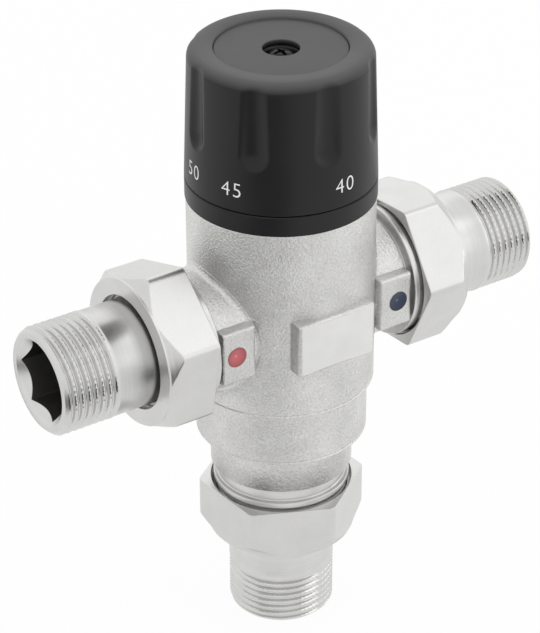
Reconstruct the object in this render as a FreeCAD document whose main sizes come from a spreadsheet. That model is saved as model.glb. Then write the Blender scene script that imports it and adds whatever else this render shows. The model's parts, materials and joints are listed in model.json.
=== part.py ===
"""Thermostatic mixing valve, DN 20, with three union ends.

Millimetres.  +Z is up.  X runs along the two inlets, hot at -X and cold at +X, and the front of the
valve faces -Y.  The origin is on the outlet's axis, halfway along its pipe thread, and every piece is
drawn about the point where the inlets' axis crosses the barrel's axis, AxisHeight above it.

Water: each inlet passes a strainer and a check valve.  Hot fills the ring round the lower half of
the shuttle and cold the ring round its upper half.  The wax element sits in the mixed water, pushes
its pin against the carrier when it warms, and so lowers the shuttle: that closes hot and opens cold.
The knob turns the spindle, whose left-hand thread raises or lowers the carrier and with it the pin.
"""
import FreeCAD, Part
import math
import os
import sys

import Sketcher
from FreeCAD import Placement, Rotation, Vector

SIZES = [
    # alias, value, what it measures
    ("AxisHeight", 79.8, "middle of the outlet's pipe thread to the inlets' axis"),
    # barrel of the forged body, measured from the inlets' axis
    ("BarrelRadius", 22.7, "upper barrel"),
    ("BarrelTop", 30.2, "rim of the barrel above the axis"),
    ("BarrelDrop", 19.6, "lower edge of the upper barrel below the axis"),
    ("WaistStep", 1.6, "upper barrel beyond the middle step"),
    ("WaistDrop", 34.0, "lower edge of the middle step"),
    ("FootStep", 1.7, "lowest cast step beyond the undercut below it"),
    ("FootDrop", 44.1, "lower edge of the lowest cast step"),
    ("OutletRelief", 15.9, "turned undercut above the outlet collar"),
    ("StepRound", 0.9, "rounding of the barrel's lower edges"),
    # inlet necks
    ("NeckRadius", 15.0, "cast neck of an inlet"),
    ("NeckStand", 4.5, "end of the cast neck beyond the barrel"),
    ("NeckRound", 1.6, "fillet where a neck meets the barrel"),
    ("InletRelief", 14.2, "turned undercut inside an inlet collar"),
    ("BossClear", 0.2537, "inner edge of the marked boss beyond the fillet's foot before it"),
    ("BossProud", 1.3, "front of the boss before its neck"),
    ("BossHalf", 7.0, "half height of the boss"),
    ("DimpleRadius", 2.7, "drilled colour mark in the boss"),
    ("DimpleDepth", 1.1, "depth of the colour mark"),
    ("PlateHalf", 10.8, "half width of the bare front plate"),
    ("PlateTop", 7.6, "upper edge of the plate above the axis"),
    ("PlateLow", 6.2, "lower edge of the plate below the axis"),
    ("PlateProud", 1.4, "front of the plate before the barrel"),
    ("PadRound", 0.45, "softened edges of boss and plate"),
    # union ends: G 1 thread on the body, G 3/4 thread on the tailpiece
    ("InletStand", 2.7, "inner face of an inlet nut beyond the cast neck"),
    ("OutletPort", 50.0, "upper face of the outlet nut below the inlets' axis"),
    ("CollarRadius", 17.0, "turned collar behind the union thread"),
    ("CollarWidth", 1.6, "collar along the pipe"),
    ("CollarGap", 0.3, "collar to nut"),
    ("UnionThread", 16.62, "outside radius of the union thread"),
    ("ThreadReach", 6.0, "union thread covered by the nut"),
    ("NutFlats", 36.4, "across flats"),
    ("NutLength", 13.3, "nut along the pipe"),
    ("NutCorner", 2.2, "rounding of the nut's corners"),
    ("NutRim", 18.3, "turned rim at the nut's outer face"),
    ("NutRimWidth", 0.5, "straight part of the rim"),
    ("NutBandRadius", 19.0, "foot of the rim"),
    ("NutBandWidth", 1.1, "rim to foot"),
    ("NutMouth", 17.6, "relief at the nut's inner face"),
    ("NutMouthDepth", 0.6, "straight part of that relief"),
    ("NutBore", 14.04, "hole for the tailpiece"),
    ("HotNutTurn", 49.0, "degrees, where the hot nut stopped"),
    ("ColdNutTurn", 25.4, "degrees, where the cold nut stopped"),
    ("OutletNutTurn", 25.0, "degrees, where the outlet nut stopped"),
    ("GasketThick", 1.9, "flat union gasket"),
    ("GasketBore", 9.7, "hole of the gasket"),
    ("FlangeRadius", 15.0, "flange of the tailpiece, and the gasket"),
    ("FlangeThick", 2.6, "flange along the pipe"),
    ("TailThread", 13.22, "outside radius of the pipe thread"),
    ("ThreadLength", 14.2, "pipe thread along the pipe"),
    ("TailRadius", 13.06, "plain part of the tailpiece"),
    ("TailLength", 29.5, "tailpiece along the pipe"),
    ("TailChamfer", 1.2, "chamfer at the pipe end"),
    ("TailBore", 9.4, "waterway behind the hex socket"),
    ("TailThroat", 8.3, "narrowest part of the waterway"),
    ("TailBoreDepth", 12.0, "length of the wide waterway"),
    ("SocketFlats", 17.0, "hex socket for the fitting key"),
    ("SocketDepth", 13.0, "hex socket along the pipe"),
    ("SocketMouth", 10.7, "countersink of the socket"),
    ("SocketTurn", 24.0, "degrees, socket corners about the pipe"),
    # inlet cartridges
    ("CageRadius", 10.95, "check valve cage and strainer rim"),
    ("CageWall", 1.6, "wall of the cage"),
    ("CageLength", 13.4, "cage along the pipe"),
    ("CageSeat", 6.4, "seat hole of the cage"),
    ("CageSeatThick", 1.6, "seat web"),
    ("CageHub", 4.2, "stem guide of the cage"),
    ("CageHubThick", 2.0, "stem guide along the pipe"),
    ("CageFoot", 0.5, "stem guide set back from the cage's end"),
    ("CageArm", 1.8, "width of the guide's arms"),
    ("PoppetRadius", 8.0, "poppet disc"),
    ("PoppetThick", 2.1, "poppet disc along the pipe"),
    ("StemRadius", 1.5, "poppet stem"),
    ("StemLength", 9.0, "poppet stem along the pipe"),
    ("PoppetSpringRadius", 3.4, "middle of the wire"),
    ("PoppetSpringWire", 0.6, "wire thickness"),
    ("StrainerRim", 0.85, "strainer rim along the pipe"),
    ("StrainerRadius", 8.3, "strainer cup"),
    ("StrainerWall", 0.6, "wall of the cup"),
    ("StrainerLength", 10.5, "cup along the pipe"),
    ("StrainerSlot", 1.7, "width of a slot"),
    ("PassageRadius", 8.5, "bore behind the check valve"),
    ("PassageLand", 1.3, "end of that bore beyond the water rings"),
    # inside of the barrel, from the inlets' axis
    ("BonnetWall", 4.8, "wall of the barrel round the bonnet's thread"),
    ("RingStep", 0.9, "bonnet's thread beyond the water rings"),
    ("GuideRadius", 13.05, "land that guides the shuttle"),
    ("GuideHalf", 4.0, "half height of the land"),
    ("ColdSeat", 12.0, "cold seat above the axis"),
    ("HotSeat", 12.6, "hot seat below the axis"),
    ("HotRingDrop", 15.6, "floor of the hot ring"),
    ("SeatOuter", 13.6, "outside of the seat lips"),
    ("SeatBore", 10.8, "inside of the seat lips"),
    ("SpringLedge", 27.0, "ledge for the return spring below the axis"),
    ("LedgeBore", 7.4, "hole of the ledge"),
    ("LedgeThick", 2.2, "ledge along the axis"),
    ("OutletBore", 10.4, "waterway to the outlet"),
    ("PassageHalf", 6.0, "half width of the cored passages"),
    ("PassageDepth", 12.0, "far end of a cored passage from the axis"),
    # shuttle and element
    ("ShuttleRadius", 13.0, "outside of the sleeve"),
    ("ShuttleWall", 1.8, "wall of the sleeve"),
    ("ShuttleHalf", 10.0, "half height of the sleeve"),
    ("ShuttleGroove", 11.9, "floor of the seal groove"),
    ("ShuttleGrooveHalf", 0.7, "half width of the seal groove"),
    ("HubRadius", 9.1, "hub of the shuttle"),
    ("HubHalf", 2.1, "half height of the hub"),
    ("HubArm", 3.0, "width of the hub's arms"),
    ("CapsuleRadius", 6.4, "wax capsule"),
    ("CapsuleDrop", 20.0, "foot of the capsule below the axis"),
    ("CapsuleFlange", 8.0, "flange of the capsule"),
    ("CapsuleFlangeThick", 1.6, "flange along the axis"),
    ("CapsuleNeck", 4.4, "neck that guides the pin"),
    ("CapsuleNeckTop", 9.4, "top of the neck above the axis"),
    ("PinRadius", 2.0, "element pin"),
    ("PinFoot", 1.9, "foot of the pin below the axis"),
    ("ReturnSpringRadius", 8.3, "middle of the wire"),
    ("ReturnSpringWire", 1.2, "wire thickness"),
    # carrier and overload unit
    ("CarrierFlats", 16.8, "across flats"),
    ("CarrierFoot", 13.6, "foot of the carrier above the axis"),
    ("CarrierTop", 30.6, "top of the carrier"),
    ("ChamberRadius", 7.0, "spring chamber"),
    ("ChamberTop", 23.0, "roof of the chamber"),
    ("ClipSlot", 14.4, "groove of the retaining clip above the axis"),
    ("ClipThick", 0.9, "retaining clips"),
    ("ClipDeep", 0.65, "depth of the clip groove"),
    ("CapThick", 2.2, "overload cap disc"),
    ("CapBoss", 3.5, "spring guide of the cap"),
    ("CapBossTop", 19.6, "top of that guide above the axis"),
    ("CapHole", 18.2, "roof of the pin hole above the axis"),
    ("OverloadSpringRadius", 5.3, "middle of the wire"),
    ("OverloadSpringWire", 1.1, "wire thickness"),
    # bonnet
    ("BonnetLip", 1.0, "flange beyond the thread, to clamp the index ring"),
    ("BonnetFlangeTop", 34.7, "top of the flange above the axis"),
    ("BonnetHex", 25.0, "across flats"),
    ("BonnetHexTop", 41.0, "top of the hexagon above the axis"),
    ("GlandRadius", 9.5, "gland above the hexagon"),
    ("GlandTop", 46.0, "top of the gland above the axis"),
    ("BonnetSocket", 17.0, "hexagon that keeps the carrier from turning"),
    ("SocketRoof", 37.0, "roof of that hexagon above the axis"),
    ("DishDepth", 3.0, "dish inside the cold seat"),
    ("BonnetGrooveDeep", 1.8, "floor of the bonnet's seal groove below its thread"),
    ("BonnetGrooveFoot", 26.8, "lower edge of that groove above the axis"),
    ("BonnetGrooveWidth", 2.1, "seal groove along the axis"),
    # spindle
    ("SpindleThread", 6.0, "left-hand thread"),
    ("SpindleFoot", 24.3, "foot of the spindle above the axis"),
    ("ShoulderRadius", 7.0, "shoulder under the bonnet"),
    ("ShoulderThick", 2.9, "shoulder along the axis"),
    ("StemOuter", 5.0, "stem through the gland"),
    ("StemSealFoot", 40.0, "lower edge of the stem seal's groove"),
    ("StemSealWidth", 1.8, "stem seal's groove along the axis"),
    ("StemSealFloor", 3.6, "floor of the stem seal's groove"),
    ("StemClipFloor", 4.3, "floor of the clip groove on the stem"),
    ("SplineRadius", 4.5, "splined top of the spindle"),
    ("SplineFoot", 49.0, "lower end of the splines above the axis"),
    ("SplineDeep", 0.5, "depth of a spline"),
    ("SpindleTop", 62.1, "top of the spindle above the axis"),
    ("ScrewHoleDepth", 10.0, "tapped hole in the spindle"),
    # index ring and knob
    ("RingHeight", 4.9, "index ring along the axis"),
    ("RingWeb", 1.6, "web clamped by the bonnet"),
    ("RingWall", 2.35, "wall of the index ring"),
    ("StopThick", 1.5, "stop lug in the index ring"),
    ("StopStep", 0.6, "stop lug above the ring, inside its wall"),
    ("StopTop", 39.0, "top of the stop lug above the axis"),
    ("StopAngle", 46.0, "degrees that the stop lug takes up"),
    ("KnobProud", 0.25, "skirt of the knob, and the index ring, beyond the barrel"),
    ("KnobTurn", -5.2, "degrees, where the knob stands from the cold side"),
    ("KnobFoot", 35.45, "lower rim of the knob above the axis"),
    ("KnobTop", 68.0, "top of the knob above the axis"),
    ("KnobTaper", 1.1, "how much slimmer the knob is at its top"),
    ("KnobRound", 3.0, "rounding of the knob's top edge"),
    ("KnobWall", 2.4, "wall of the knob"),
    ("KnobRoof", 4.1, "roof of the knob with its cap disc"),
    ("KnobHub", 8.5, "hub on the spindle"),
    ("KnobHubFoot", 49.6, "lower end of the hub above the axis"),
    ("KnobRib", 1.6, "ribs between hub and skirt"),
    ("StopRibDepth", 2.6, "stop rib inside the skirt"),
    ("StopRibWidth", 4.0, "width of the stop rib"),
    ("FluteRadius", 5.0, "cutter of a finger flute"),
    ("FluteDepth", 1.15, "depth of a flute"),
    ("FluteFoot", 49.0, "centre of a flute's ball end above the axis"),
    ("FluteRound", 1.4, "softened edges of a flute"),
    ("DiscRadius", 15.7, "cap disc in the knob's top"),
    ("DiscThick", 1.5, "cap disc along the axis"),
    ("DiscSunk", 0.6, "cap disc below the knob's top"),
    ("ScrewWell", 4.4, "well round the screw head"),
    ("HubWeb", 2.1, "web under the screw head"),
    ("ScrewRadius", 2.0, "knob screw thread"),
    ("ScrewHead", 3.2, "knob screw head"),
    ("ScrewHeadHeight", 2.3, "knob screw head along the axis"),
    ("ScrewLength", 9.0, "knob screw under its head"),
    ("CrossWidth", 0.9, "arm of the cross recess"),
    ("CrossReach", 1.9, "length of an arm"),
    ("CrossDepth", 1.5, "depth of the recess"),
    # fits, on the radius or between faces
    ("Seated", 0.05, "faces that touch"),
    ("Running", 0.05, "turning and sliding fits"),
    ("ThreadFit", 0.06, "nut thread over body thread"),
    ("SealFit", 0.01, "seal in its groove"),
    ("CoilGap", 0.1, "spring end to its seat"),
]
FLUTES = 8
SPLINES = 12
HUB_ARMS = 4
GUIDE_ARMS = 3
STRAINER_SLOTS = 8
KNOB_RIBS = 4
POPPET_TURNS = 4
RETURN_TURNS = 5
OVERLOAD_TURNS = 3
WIRE_SIDES = 8
CLIP_ANGLE = 300.0
SPREAD = 1.0  # how far a cutting profile runs past the face it opens


class Size:
    """A length that knows its value and the spreadsheet expression that gives it."""

    def __init__(self, value, text):
        self.value = value
        self.text = text

    def __add__(self, other):
        other = as_size(other)
        return Size(self.value + other.value, f"({self.text} + {other.text})")

    def __sub__(self, other):
        other = as_size(other)
        return Size(self.value - other.value, f"({self.text} - {other.text})")

    def __rsub__(self, other):
        return as_size(other) - self

    def __mul__(self, factor):
        return Size(self.value * factor, f"({self.text} * {factor:.9f})")

    def __neg__(self):
        return self * -1.0

    def beside(self, other):
        """The third side of a right triangle with this hypotenuse and that other side."""
        length = math.sqrt(self.value ** 2 - other.value ** 2)
        return Size(length, f"sqrt({self.text}^2 - {other.text}^2)")

    __radd__ = __add__
    __rmul__ = __mul__


def as_size(number):
    """A plain number as a Size."""
    return number if isinstance(number, Size) else Size(float(number), f"{float(number):.6f}")


class Sheet:
    """The spreadsheet of driving dimensions: each alias is an attribute that holds its Size."""

    def __init__(self, document, rows):
        self.cells = document.addObject("Spreadsheet::Sheet", "Sizes")
        for row, (alias, value, note) in enumerate(rows, 1):
            self.cells.set(f"A{row}", alias)
            self.cells.set(f"B{row}", str(value))
            self.cells.setAlias(f"B{row}", alias)
            self.cells.set(f"C{row}", note)
            setattr(self, alias, Size(value, f"Sizes.{alias}"))


doc = FreeCAD.newDocument("MixingValve")
s = Sheet(doc, SIZES)
doc.recompute()
pieces = []

# Sizes that follow from others: what is forged, bored and screwed on round the barrel goes with it.
WAIST_RADIUS = s.BarrelRadius - s.WaistStep
FOOT_RADIUS = s.OutletRelief + s.FootStep
NECK_REACH = s.BarrelRadius + s.NeckStand
BOSS_START = (s.BarrelRadius + s.NeckRound).beside(s.NeckRadius + s.NeckRound) + s.BossClear
BOSS_FACE = s.NeckRadius + s.BossProud
PLATE_FACE = s.BarrelRadius + s.PlateProud
INLET_PORT = NECK_REACH + s.InletStand
BONNET_BORE = s.BarrelRadius - s.BonnetWall
BONNET_FLANGE = BONNET_BORE + s.BonnetLip
BONNET_GROOVE = BONNET_BORE - s.BonnetGrooveDeep
RING_RADIUS = BONNET_BORE - s.RingStep
PASSAGE_END = RING_RADIUS + s.PassageLand
KNOB_RADIUS = s.BarrelRadius + s.KnobProud
RING_INNER = KNOB_RADIUS - s.RingWall
STOP_INNER = RING_INNER - s.StopThick
STOP_OUTER = RING_INNER - s.StopStep

# Where a piece is placed: turned about Y from +Z, then moved from the crossing of the axes.
UPRIGHT = (0.0, None)
HOT = (-90.0, ("x", -INLET_PORT))
COLD = (90.0, ("x", INLET_PORT))
OUTLET = (180.0, ("z", -s.OutletPort))


def place(piece, where, turn):
    """Turn a piece about its own axis, point that axis the way of its port and move it there."""
    tilt, shift = where
    rotation = Rotation(Vector(0, 1, 0), tilt) * Rotation(Vector(0, 0, 1), turn)
    piece.Placement = Placement(Vector(0, 0, 0), rotation)
    height = s.AxisHeight
    if shift and shift[0] == "z":
        height = s.AxisHeight + shift[1]
    if shift and shift[0] == "x":
        piece.setExpression("Placement.Base.x", shift[1].text)
    piece.setExpression("Placement.Base.z", height.text)


def new_body(label, where=UPRIGHT, turn=0.0):
    """An empty PartDesign body for one physical piece."""
    body = doc.addObject("PartDesign::Body", label)
    body.Label = label
    place(body, where, turn)
    pieces.append(body)
    return body


def origin_of(body, role):
    """A plane or an axis of the body's own origin."""
    return next(item for item in body.Origin.OriginFeatures if item.Role == role)


def empty_sketch(body, name, plane):
    """A sketch on one of the body's own planes."""
    sketch = body.newObject("Sketcher::SketchObject", name)
    sketch.AttachmentSupport = [(origin_of(body, plane), "")]
    sketch.MapMode = "FlatFace"
    return sketch


def sketch_on(body, name, plane, *loops):
    """A sketch of closed polygons whose corners are bound to the sheet."""
    sketch = empty_sketch(body, name, plane)
    for loop in loops:
        corners = [(as_size(x), as_size(y)) for x, y in loop]
        first = sketch.GeometryCount
        for index, (x, y) in enumerate(corners):
            next_x, next_y = corners[(index + 1) % len(corners)]
            start = Vector(x.value, y.value, 0)
            end = Vector(next_x.value, next_y.value, 0)
            sketch.addGeometry(Part.LineSegment(start, end), False)
        for index, (x, y) in enumerate(corners):
            line = first + index
            following = first + (index + 1) % len(corners)
            sketch.addConstraint(Sketcher.Constraint("Coincident", line, 2, following, 1))
            bind_point(sketch, line, x, y)
    return sketch


def bind_point(sketch, geometry, x, y, point=1):
    """Fix a line's first end, or point 3 of an arc, at x, y, each bound to its expression."""
    for kind, size, origin_axis in (("DistanceX", x, -2), ("DistanceY", y, -1)):
        if size.value == 0.0:
            sketch.addConstraint(Sketcher.Constraint("PointOnObject", geometry, point, origin_axis))
        else:
            bind(sketch, size, kind, -1, 1, geometry, point)


def bind(sketch, size, *constraint):
    """Add a dimension to a sketch and bind it to its expression."""
    index = sketch.addConstraint(Sketcher.Constraint(*constraint, size.value))
    sketch.setExpression(f"Constraints[{index}]", size.text)


def add_axis(sketch, x):
    """Add a construction line along the sketch's second axis at x, to turn the sketch about."""
    ends = Vector(x.value, 0, 0), Vector(x.value, 10, 0)
    line = sketch.addGeometry(Part.LineSegment(*ends), True)
    sketch.addConstraint(Sketcher.Constraint("Vertical", line))
    sketch.addConstraint(Sketcher.Constraint("DistanceY", line, 1, line, 2, 10.0))
    bind_point(sketch, line, x, as_size(0))
    return sketch


def revolve(body, name, sketch, cut=False, axis="V_Axis", angle=360.0, centred=False):
    """Turn a sketch about one of its axes, as material or as a cut."""
    feature = body.newObject("PartDesign::Groove" if cut else "PartDesign::Revolution", name)
    feature.Profile = sketch
    feature.ReferenceAxis = (sketch, [axis])
    if isinstance(angle, Size):
        feature.setExpression("Angle", angle.text)
    else:
        feature.Angle = angle
    feature.Midplane = centred
    return feature


def turned(body, name, loop, **options):
    """Turn one closed profile, given as (radius, height) corners, about the piece's own Z."""
    return revolve(body, name, sketch_on(body, name + "Profile", "XZ_Plane", loop), **options)


def raised(body, name, sketch, length, reverse=False, centred=False):
    """Pad a sketch by a length."""
    feature = body.newObject("PartDesign::Pad", name)
    feature.Profile = sketch
    feature.setExpression("Length", as_size(length).text)
    feature.Reversed = reverse
    feature.Midplane = centred
    return feature


def sunk(body, name, sketch, length, reverse=False, centred=False):
    """Pocket a sketch by a length, and make sure that it cut something."""
    doc.recompute()
    before = body.Tip.Shape.Volume
    feature = body.newObject("PartDesign::Pocket", name)
    feature.Profile = sketch
    feature.setExpression("Length", as_size(length).text)
    feature.Reversed = reverse
    feature.Midplane = centred
    doc.recompute()
    if feature.Shape.Volume >= before:
        sys.exit(f"{name} cuts nothing")
    return feature


def offset_up(sketch, height):
    """Lift a sketch off its plane, along the plane's normal."""
    sketch.setExpression("AttachmentOffset.Base.z", as_size(height).text)
    return sketch


def patterned(body, name, feature, count):
    """Repeat a feature round the piece's own Z."""
    pattern = body.newObject("PartDesign::PolarPattern", name)
    pattern.Originals = [feature]
    pattern.Axis = (origin_of(body, "Z_Axis"), [""])
    pattern.Angle = 360.0
    pattern.Occurrences = count
    body.Tip = pattern
    return pattern


def rounded(body, name, radius, wanted):
    """Fillet the edges of the body's last feature for which wanted(edge) holds."""
    doc.recompute()
    base = body.Tip
    edges = [f"Edge{number}" for number, edge in enumerate(base.Shape.Edges, 1) if wanted(edge)]
    if not edges:
        sys.exit(f"{name} finds no edge")
    fillet = body.newObject("PartDesign::Fillet", name)
    fillet.Base = (base, edges)
    fillet.setExpression("Radius", radius.text)
    body.Tip = fillet
    return fillet


def hexagon(flats):
    """Corners of a hexagon, one of them on the first axis."""
    reach = flats * (1.0 / math.sqrt(3.0))
    turns = [math.radians(60.0 * corner) for corner in range(6)]
    return [(reach * round(math.cos(a), 9), reach * round(math.sin(a), 9)) for a in turns]


def rectangle(left, right, low, high):
    """Corners of a rectangle."""
    return [(left, low), (right, low), (right, high), (left, high)]


def is_circle(edge, radius, height):
    """Whether an edge is a circle about Z of that radius at that height."""
    curve = edge.Curve
    return (isinstance(curve, Part.Circle) and abs(curve.Radius - radius.value) < 1e-4
            and abs(curve.Center.z - height.value) < 1e-4 and abs(curve.Axis.z) > 0.999)


def valve_body():
    """The forged body: barrel, two necks, marked bosses, front plate, ports and waterways."""
    body = new_body("valve_body")
    collar_end = s.OutletPort - s.CollarGap
    outlet_end = s.OutletPort + s.ThreadReach
    turned(body, "Barrel", [
        (0, s.BarrelTop), (s.BarrelRadius, s.BarrelTop), (s.BarrelRadius, -s.BarrelDrop),
        (WAIST_RADIUS, -s.BarrelDrop), (WAIST_RADIUS, -s.WaistDrop),
        (FOOT_RADIUS, -s.WaistDrop), (FOOT_RADIUS, -s.FootDrop), (s.OutletRelief, -s.FootDrop),
        (s.OutletRelief, -(collar_end - s.CollarWidth)),
        (s.CollarRadius, -(collar_end - s.CollarWidth)), (s.CollarRadius, -collar_end),
        (s.UnionThread, -collar_end), (s.UnionThread, -outlet_end), (0, -outlet_end)])
    inlet_collar = INLET_PORT - s.CollarGap
    inlet_end = INLET_PORT + s.ThreadReach
    neck = [(0, 0), (0, s.NeckRadius), (NECK_REACH, s.NeckRadius), (NECK_REACH, s.InletRelief),
            (inlet_collar - s.CollarWidth, s.InletRelief),
            (inlet_collar - s.CollarWidth, s.CollarRadius), (inlet_collar, s.CollarRadius),
            (inlet_collar, s.UnionThread), (inlet_end, s.UnionThread), (inlet_end, 0)]
    for side, sign in (("Cold", 1.0), ("Hot", -1.0)):
        loop = [(as_size(x) * sign, y) for x, y in neck]
        sketch = sketch_on(body, side + "NeckProfile", "XZ_Plane", loop)
        revolve(body, side + "Neck", sketch, axis="H_Axis")

    def neck_joint(edge):
        box = edge.BoundBox
        on_neck = box.ZMax < s.NeckRadius.value + 0.01 and box.ZMin > -s.NeckRadius.value - 0.01
        return (on_neck and box.ZLength > s.NeckRadius.value and box.XLength > 1.0
                and max(abs(box.XMin), abs(box.XMax)) < s.BarrelRadius.value + 0.01)

    rounded(body, "NeckFillets", s.NeckRound, neck_joint)

    def step_edge(edge):
        return (is_circle(edge, s.BarrelRadius, -s.BarrelDrop)
                or is_circle(edge, WAIST_RADIUS, -s.WaistDrop))

    rounded(body, "StepRounds", s.StepRound, step_edge)
    root = s.BossHalf - SPREAD
    bosses = sketch_on(
        body, "BossOutlines", "XZ_Plane",
        rectangle(BOSS_START, NECK_REACH, -s.BossHalf, s.BossHalf),
        rectangle(-NECK_REACH, -BOSS_START, -s.BossHalf, s.BossHalf))
    raised(body, "Bosses", offset_up(bosses, root), BOSS_FACE - root)
    plate = sketch_on(body, "PlateOutline", "XZ_Plane",
                      rectangle(-s.PlateHalf, s.PlateHalf, -s.PlateLow, s.PlateTop))
    raised(body, "Plate", offset_up(plate, root), PLATE_FACE - root)

    def pad_edge(edge):
        if not isinstance(edge.Curve, Part.Line):
            return False
        depths = [abs(vertex.Point.y) for vertex in edge.Vertexes]
        reach = [abs(vertex.Point.x) for vertex in edge.Vertexes]
        on_plate = abs(min(depths) - PLATE_FACE.value) < 1e-4
        on_boss = abs(min(depths) - BOSS_FACE.value) < 1e-4 and min(reach) < NECK_REACH.value - 0.1
        return on_plate or on_boss

    rounded(body, "PadRounds", s.PadRound, pad_edge)
    bore_barrel(body)
    bore_inlets(body)
    for side, sign in (("Cold", 1.0), ("Hot", -1.0)):
        middle = (BOSS_START + NECK_REACH) * (0.5 * sign)
        edge = middle + s.DimpleRadius
        mouth = -(BOSS_FACE + SPREAD)
        mark = add_axis(sketch_on(body, side + "MarkProfile", "XY_Plane", [
            (middle, mouth), (edge, mouth), (edge, -BOSS_FACE),
            (middle, -(BOSS_FACE - s.DimpleDepth))]), middle)
        revolve(body, side + "Mark", mark, cut=True, axis="Axis0")


def bore_barrel(body):
    """Everything that is bored and grooved from above and below."""
    turned(body, "BarrelBore", [
        (0, s.BarrelTop + SPREAD), (BONNET_BORE, s.BarrelTop + SPREAD), (BONNET_BORE, s.ColdSeat),
        (RING_RADIUS, s.ColdSeat), (RING_RADIUS, s.GuideHalf), (s.GuideRadius, s.GuideHalf),
        (s.GuideRadius, -s.GuideHalf), (RING_RADIUS, -s.GuideHalf),
        (RING_RADIUS, -s.HotRingDrop), (s.SeatOuter, -s.HotRingDrop), (s.SeatOuter, -s.HotSeat),
        (s.SeatBore, -s.HotSeat), (s.SeatBore, -s.SpringLedge), (s.LedgeBore, -s.SpringLedge),
        (s.LedgeBore, -(s.SpringLedge + s.LedgeThick)),
        (s.OutletBore, -(s.SpringLedge + s.LedgeThick * 2.0)),
        (s.OutletBore, -(s.OutletPort + s.ThreadReach + SPREAD)),
        (0, -(s.OutletPort + s.ThreadReach + SPREAD))], cut=True)


def bore_inlets(body):
    """The inlet bores, and the cored passages from them to the shuttle's two rings."""
    cage_bore = s.CageRadius + s.Seated
    cage_floor = INLET_PORT + s.ThreadReach - s.StrainerRim - s.Seated - s.CageLength - s.Seated
    mouth = INLET_PORT + s.ThreadReach + SPREAD
    bore = [(PASSAGE_END, 0), (PASSAGE_END, s.PassageRadius), (cage_floor, s.PassageRadius),
            (cage_floor, cage_bore), (mouth, cage_bore), (mouth, 0)]
    for side, sign in (("Cold", 1.0), ("Hot", -1.0)):
        loop = [(as_size(x) * sign, y) for x, y in bore]
        sketch = sketch_on(body, side + "BoreProfile", "XZ_Plane", loop)
        revolve(body, side + "Bore", sketch, cut=True, axis="H_Axis")
    inner = s.GuideRadius + SPREAD
    cold = rectangle(inner, cage_floor, s.GuideHalf, s.PassageDepth)
    hot = rectangle(-cage_floor, -inner, -s.PassageDepth, -s.GuideHalf)
    passages = sketch_on(body, "PassageOutlines", "XZ_Plane", cold, hot)
    sunk(body, "Passages", passages, s.PassageHalf * 2.0, centred=True)


def bonnet():
    """The brass head that closes the barrel, clamps the index ring and carries the cold seat."""
    body = new_body("bonnet")
    thread = BONNET_BORE - s.Running
    foot = s.ColdSeat + s.Seated
    clamp = s.BarrelTop + s.Seated * 2.0 + s.RingWeb
    groove_top = s.BonnetGrooveFoot + s.BonnetGrooveWidth
    turned(body, "Turning", [
        (0, foot), (thread, foot), (thread, s.BonnetGrooveFoot),
        (BONNET_GROOVE, s.BonnetGrooveFoot), (BONNET_GROOVE, groove_top), (thread, groove_top),
        (thread, clamp), (BONNET_FLANGE, clamp), (BONNET_FLANGE, s.BonnetFlangeTop),
        (s.GlandRadius, s.BonnetFlangeTop), (s.GlandRadius, s.GlandTop), (0, s.GlandTop)])
    hex_sketch = offset_up(sketch_on(body, "HexOutline", "XY_Plane", hexagon(s.BonnetHex)),
                           s.BonnetFlangeTop)
    raised(body, "Hex", hex_sketch, s.BonnetHexTop - s.BonnetFlangeTop)
    socket = offset_up(sketch_on(body, "SocketOutline", "XY_Plane", hexagon(s.BonnetSocket)), foot)
    sunk(body, "Socket", socket, s.SocketRoof - foot, reverse=True)
    turned(body, "SeatAndBore", [
        (0, foot - SPREAD), (s.SeatBore, foot - SPREAD), (s.SeatBore, foot + s.DishDepth),
        (s.StemOuter + s.Running, foot + s.DishDepth), (s.StemOuter + s.Running, s.GlandTop + SPREAD),
        (0, s.GlandTop + SPREAD)], cut=True)


def seal_ring(label, inner, outer, height):
    """An O-ring between the radii inner and outer, with its middle at that height."""
    ring = doc.addObject("Part::Torus", label)
    ring.Label = label
    thick = (outer - inner) * 0.5
    ring.setExpression("Radius1", (inner + thick).text)
    ring.setExpression("Radius2", (thick - s.SealFit).text)
    place(ring, UPRIGHT, 0.0)
    ring.setExpression("Placement.Base.z", (s.AxisHeight + height).text)
    pieces.append(ring)


def clip(label, inner, outer, foot):
    """An open retaining clip."""
    body = new_body(label)
    turned(body, "Wire", rectangle(inner, outer, foot, foot + s.ClipThick - s.Seated * 2.0),
           angle=CLIP_ANGLE)


def coil_spring(label, radius, wire, foot, head, turns, where=UPRIGHT):
    """A wire spring from foot to head, the faces that it presses on; the wire has few sides."""
    low = foot + wire * 0.5 + s.CoilGap
    high = head - wire * 0.5 - s.CoilGap
    helix = doc.addObject("Part::Helix", label + "_helix")
    helix.setExpression("Radius", radius.text)
    helix.setExpression("Height", (high - low).text)
    helix.setExpression("Pitch", ((high - low) * (1.0 / turns)).text)
    section = doc.addObject("Part::RegularPolygon", label + "_section")
    section.Polygon = WIRE_SIDES
    section.setExpression("Circumradius", (wire * 0.5).text)
    section.Placement = Placement(Vector(0, 0, 0), Rotation(Vector(1, 0, 0), 90))
    section.setExpression("Placement.Base.x", radius.text)
    spring = doc.addObject("Part::Sweep", label)
    spring.Label = label
    spring.Sections = [section]
    spring.Spine = (helix, ["Edge1"])
    spring.Solid = True
    spring.Frenet = True
    tilt, shift = where
    spring.Placement = Placement(Vector(0, 0, 0), Rotation(Vector(0, 1, 0), tilt))
    if shift:
        sign = 1.0 if tilt > 0 else -1.0
        spring.setExpression("Placement.Base.x", (shift[1] + low * sign).text)
        spring.setExpression("Placement.Base.z", s.AxisHeight.text)
    else:
        spring.setExpression("Placement.Base.z", (s.AxisHeight + low).text)
    pieces.append(spring)


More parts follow.
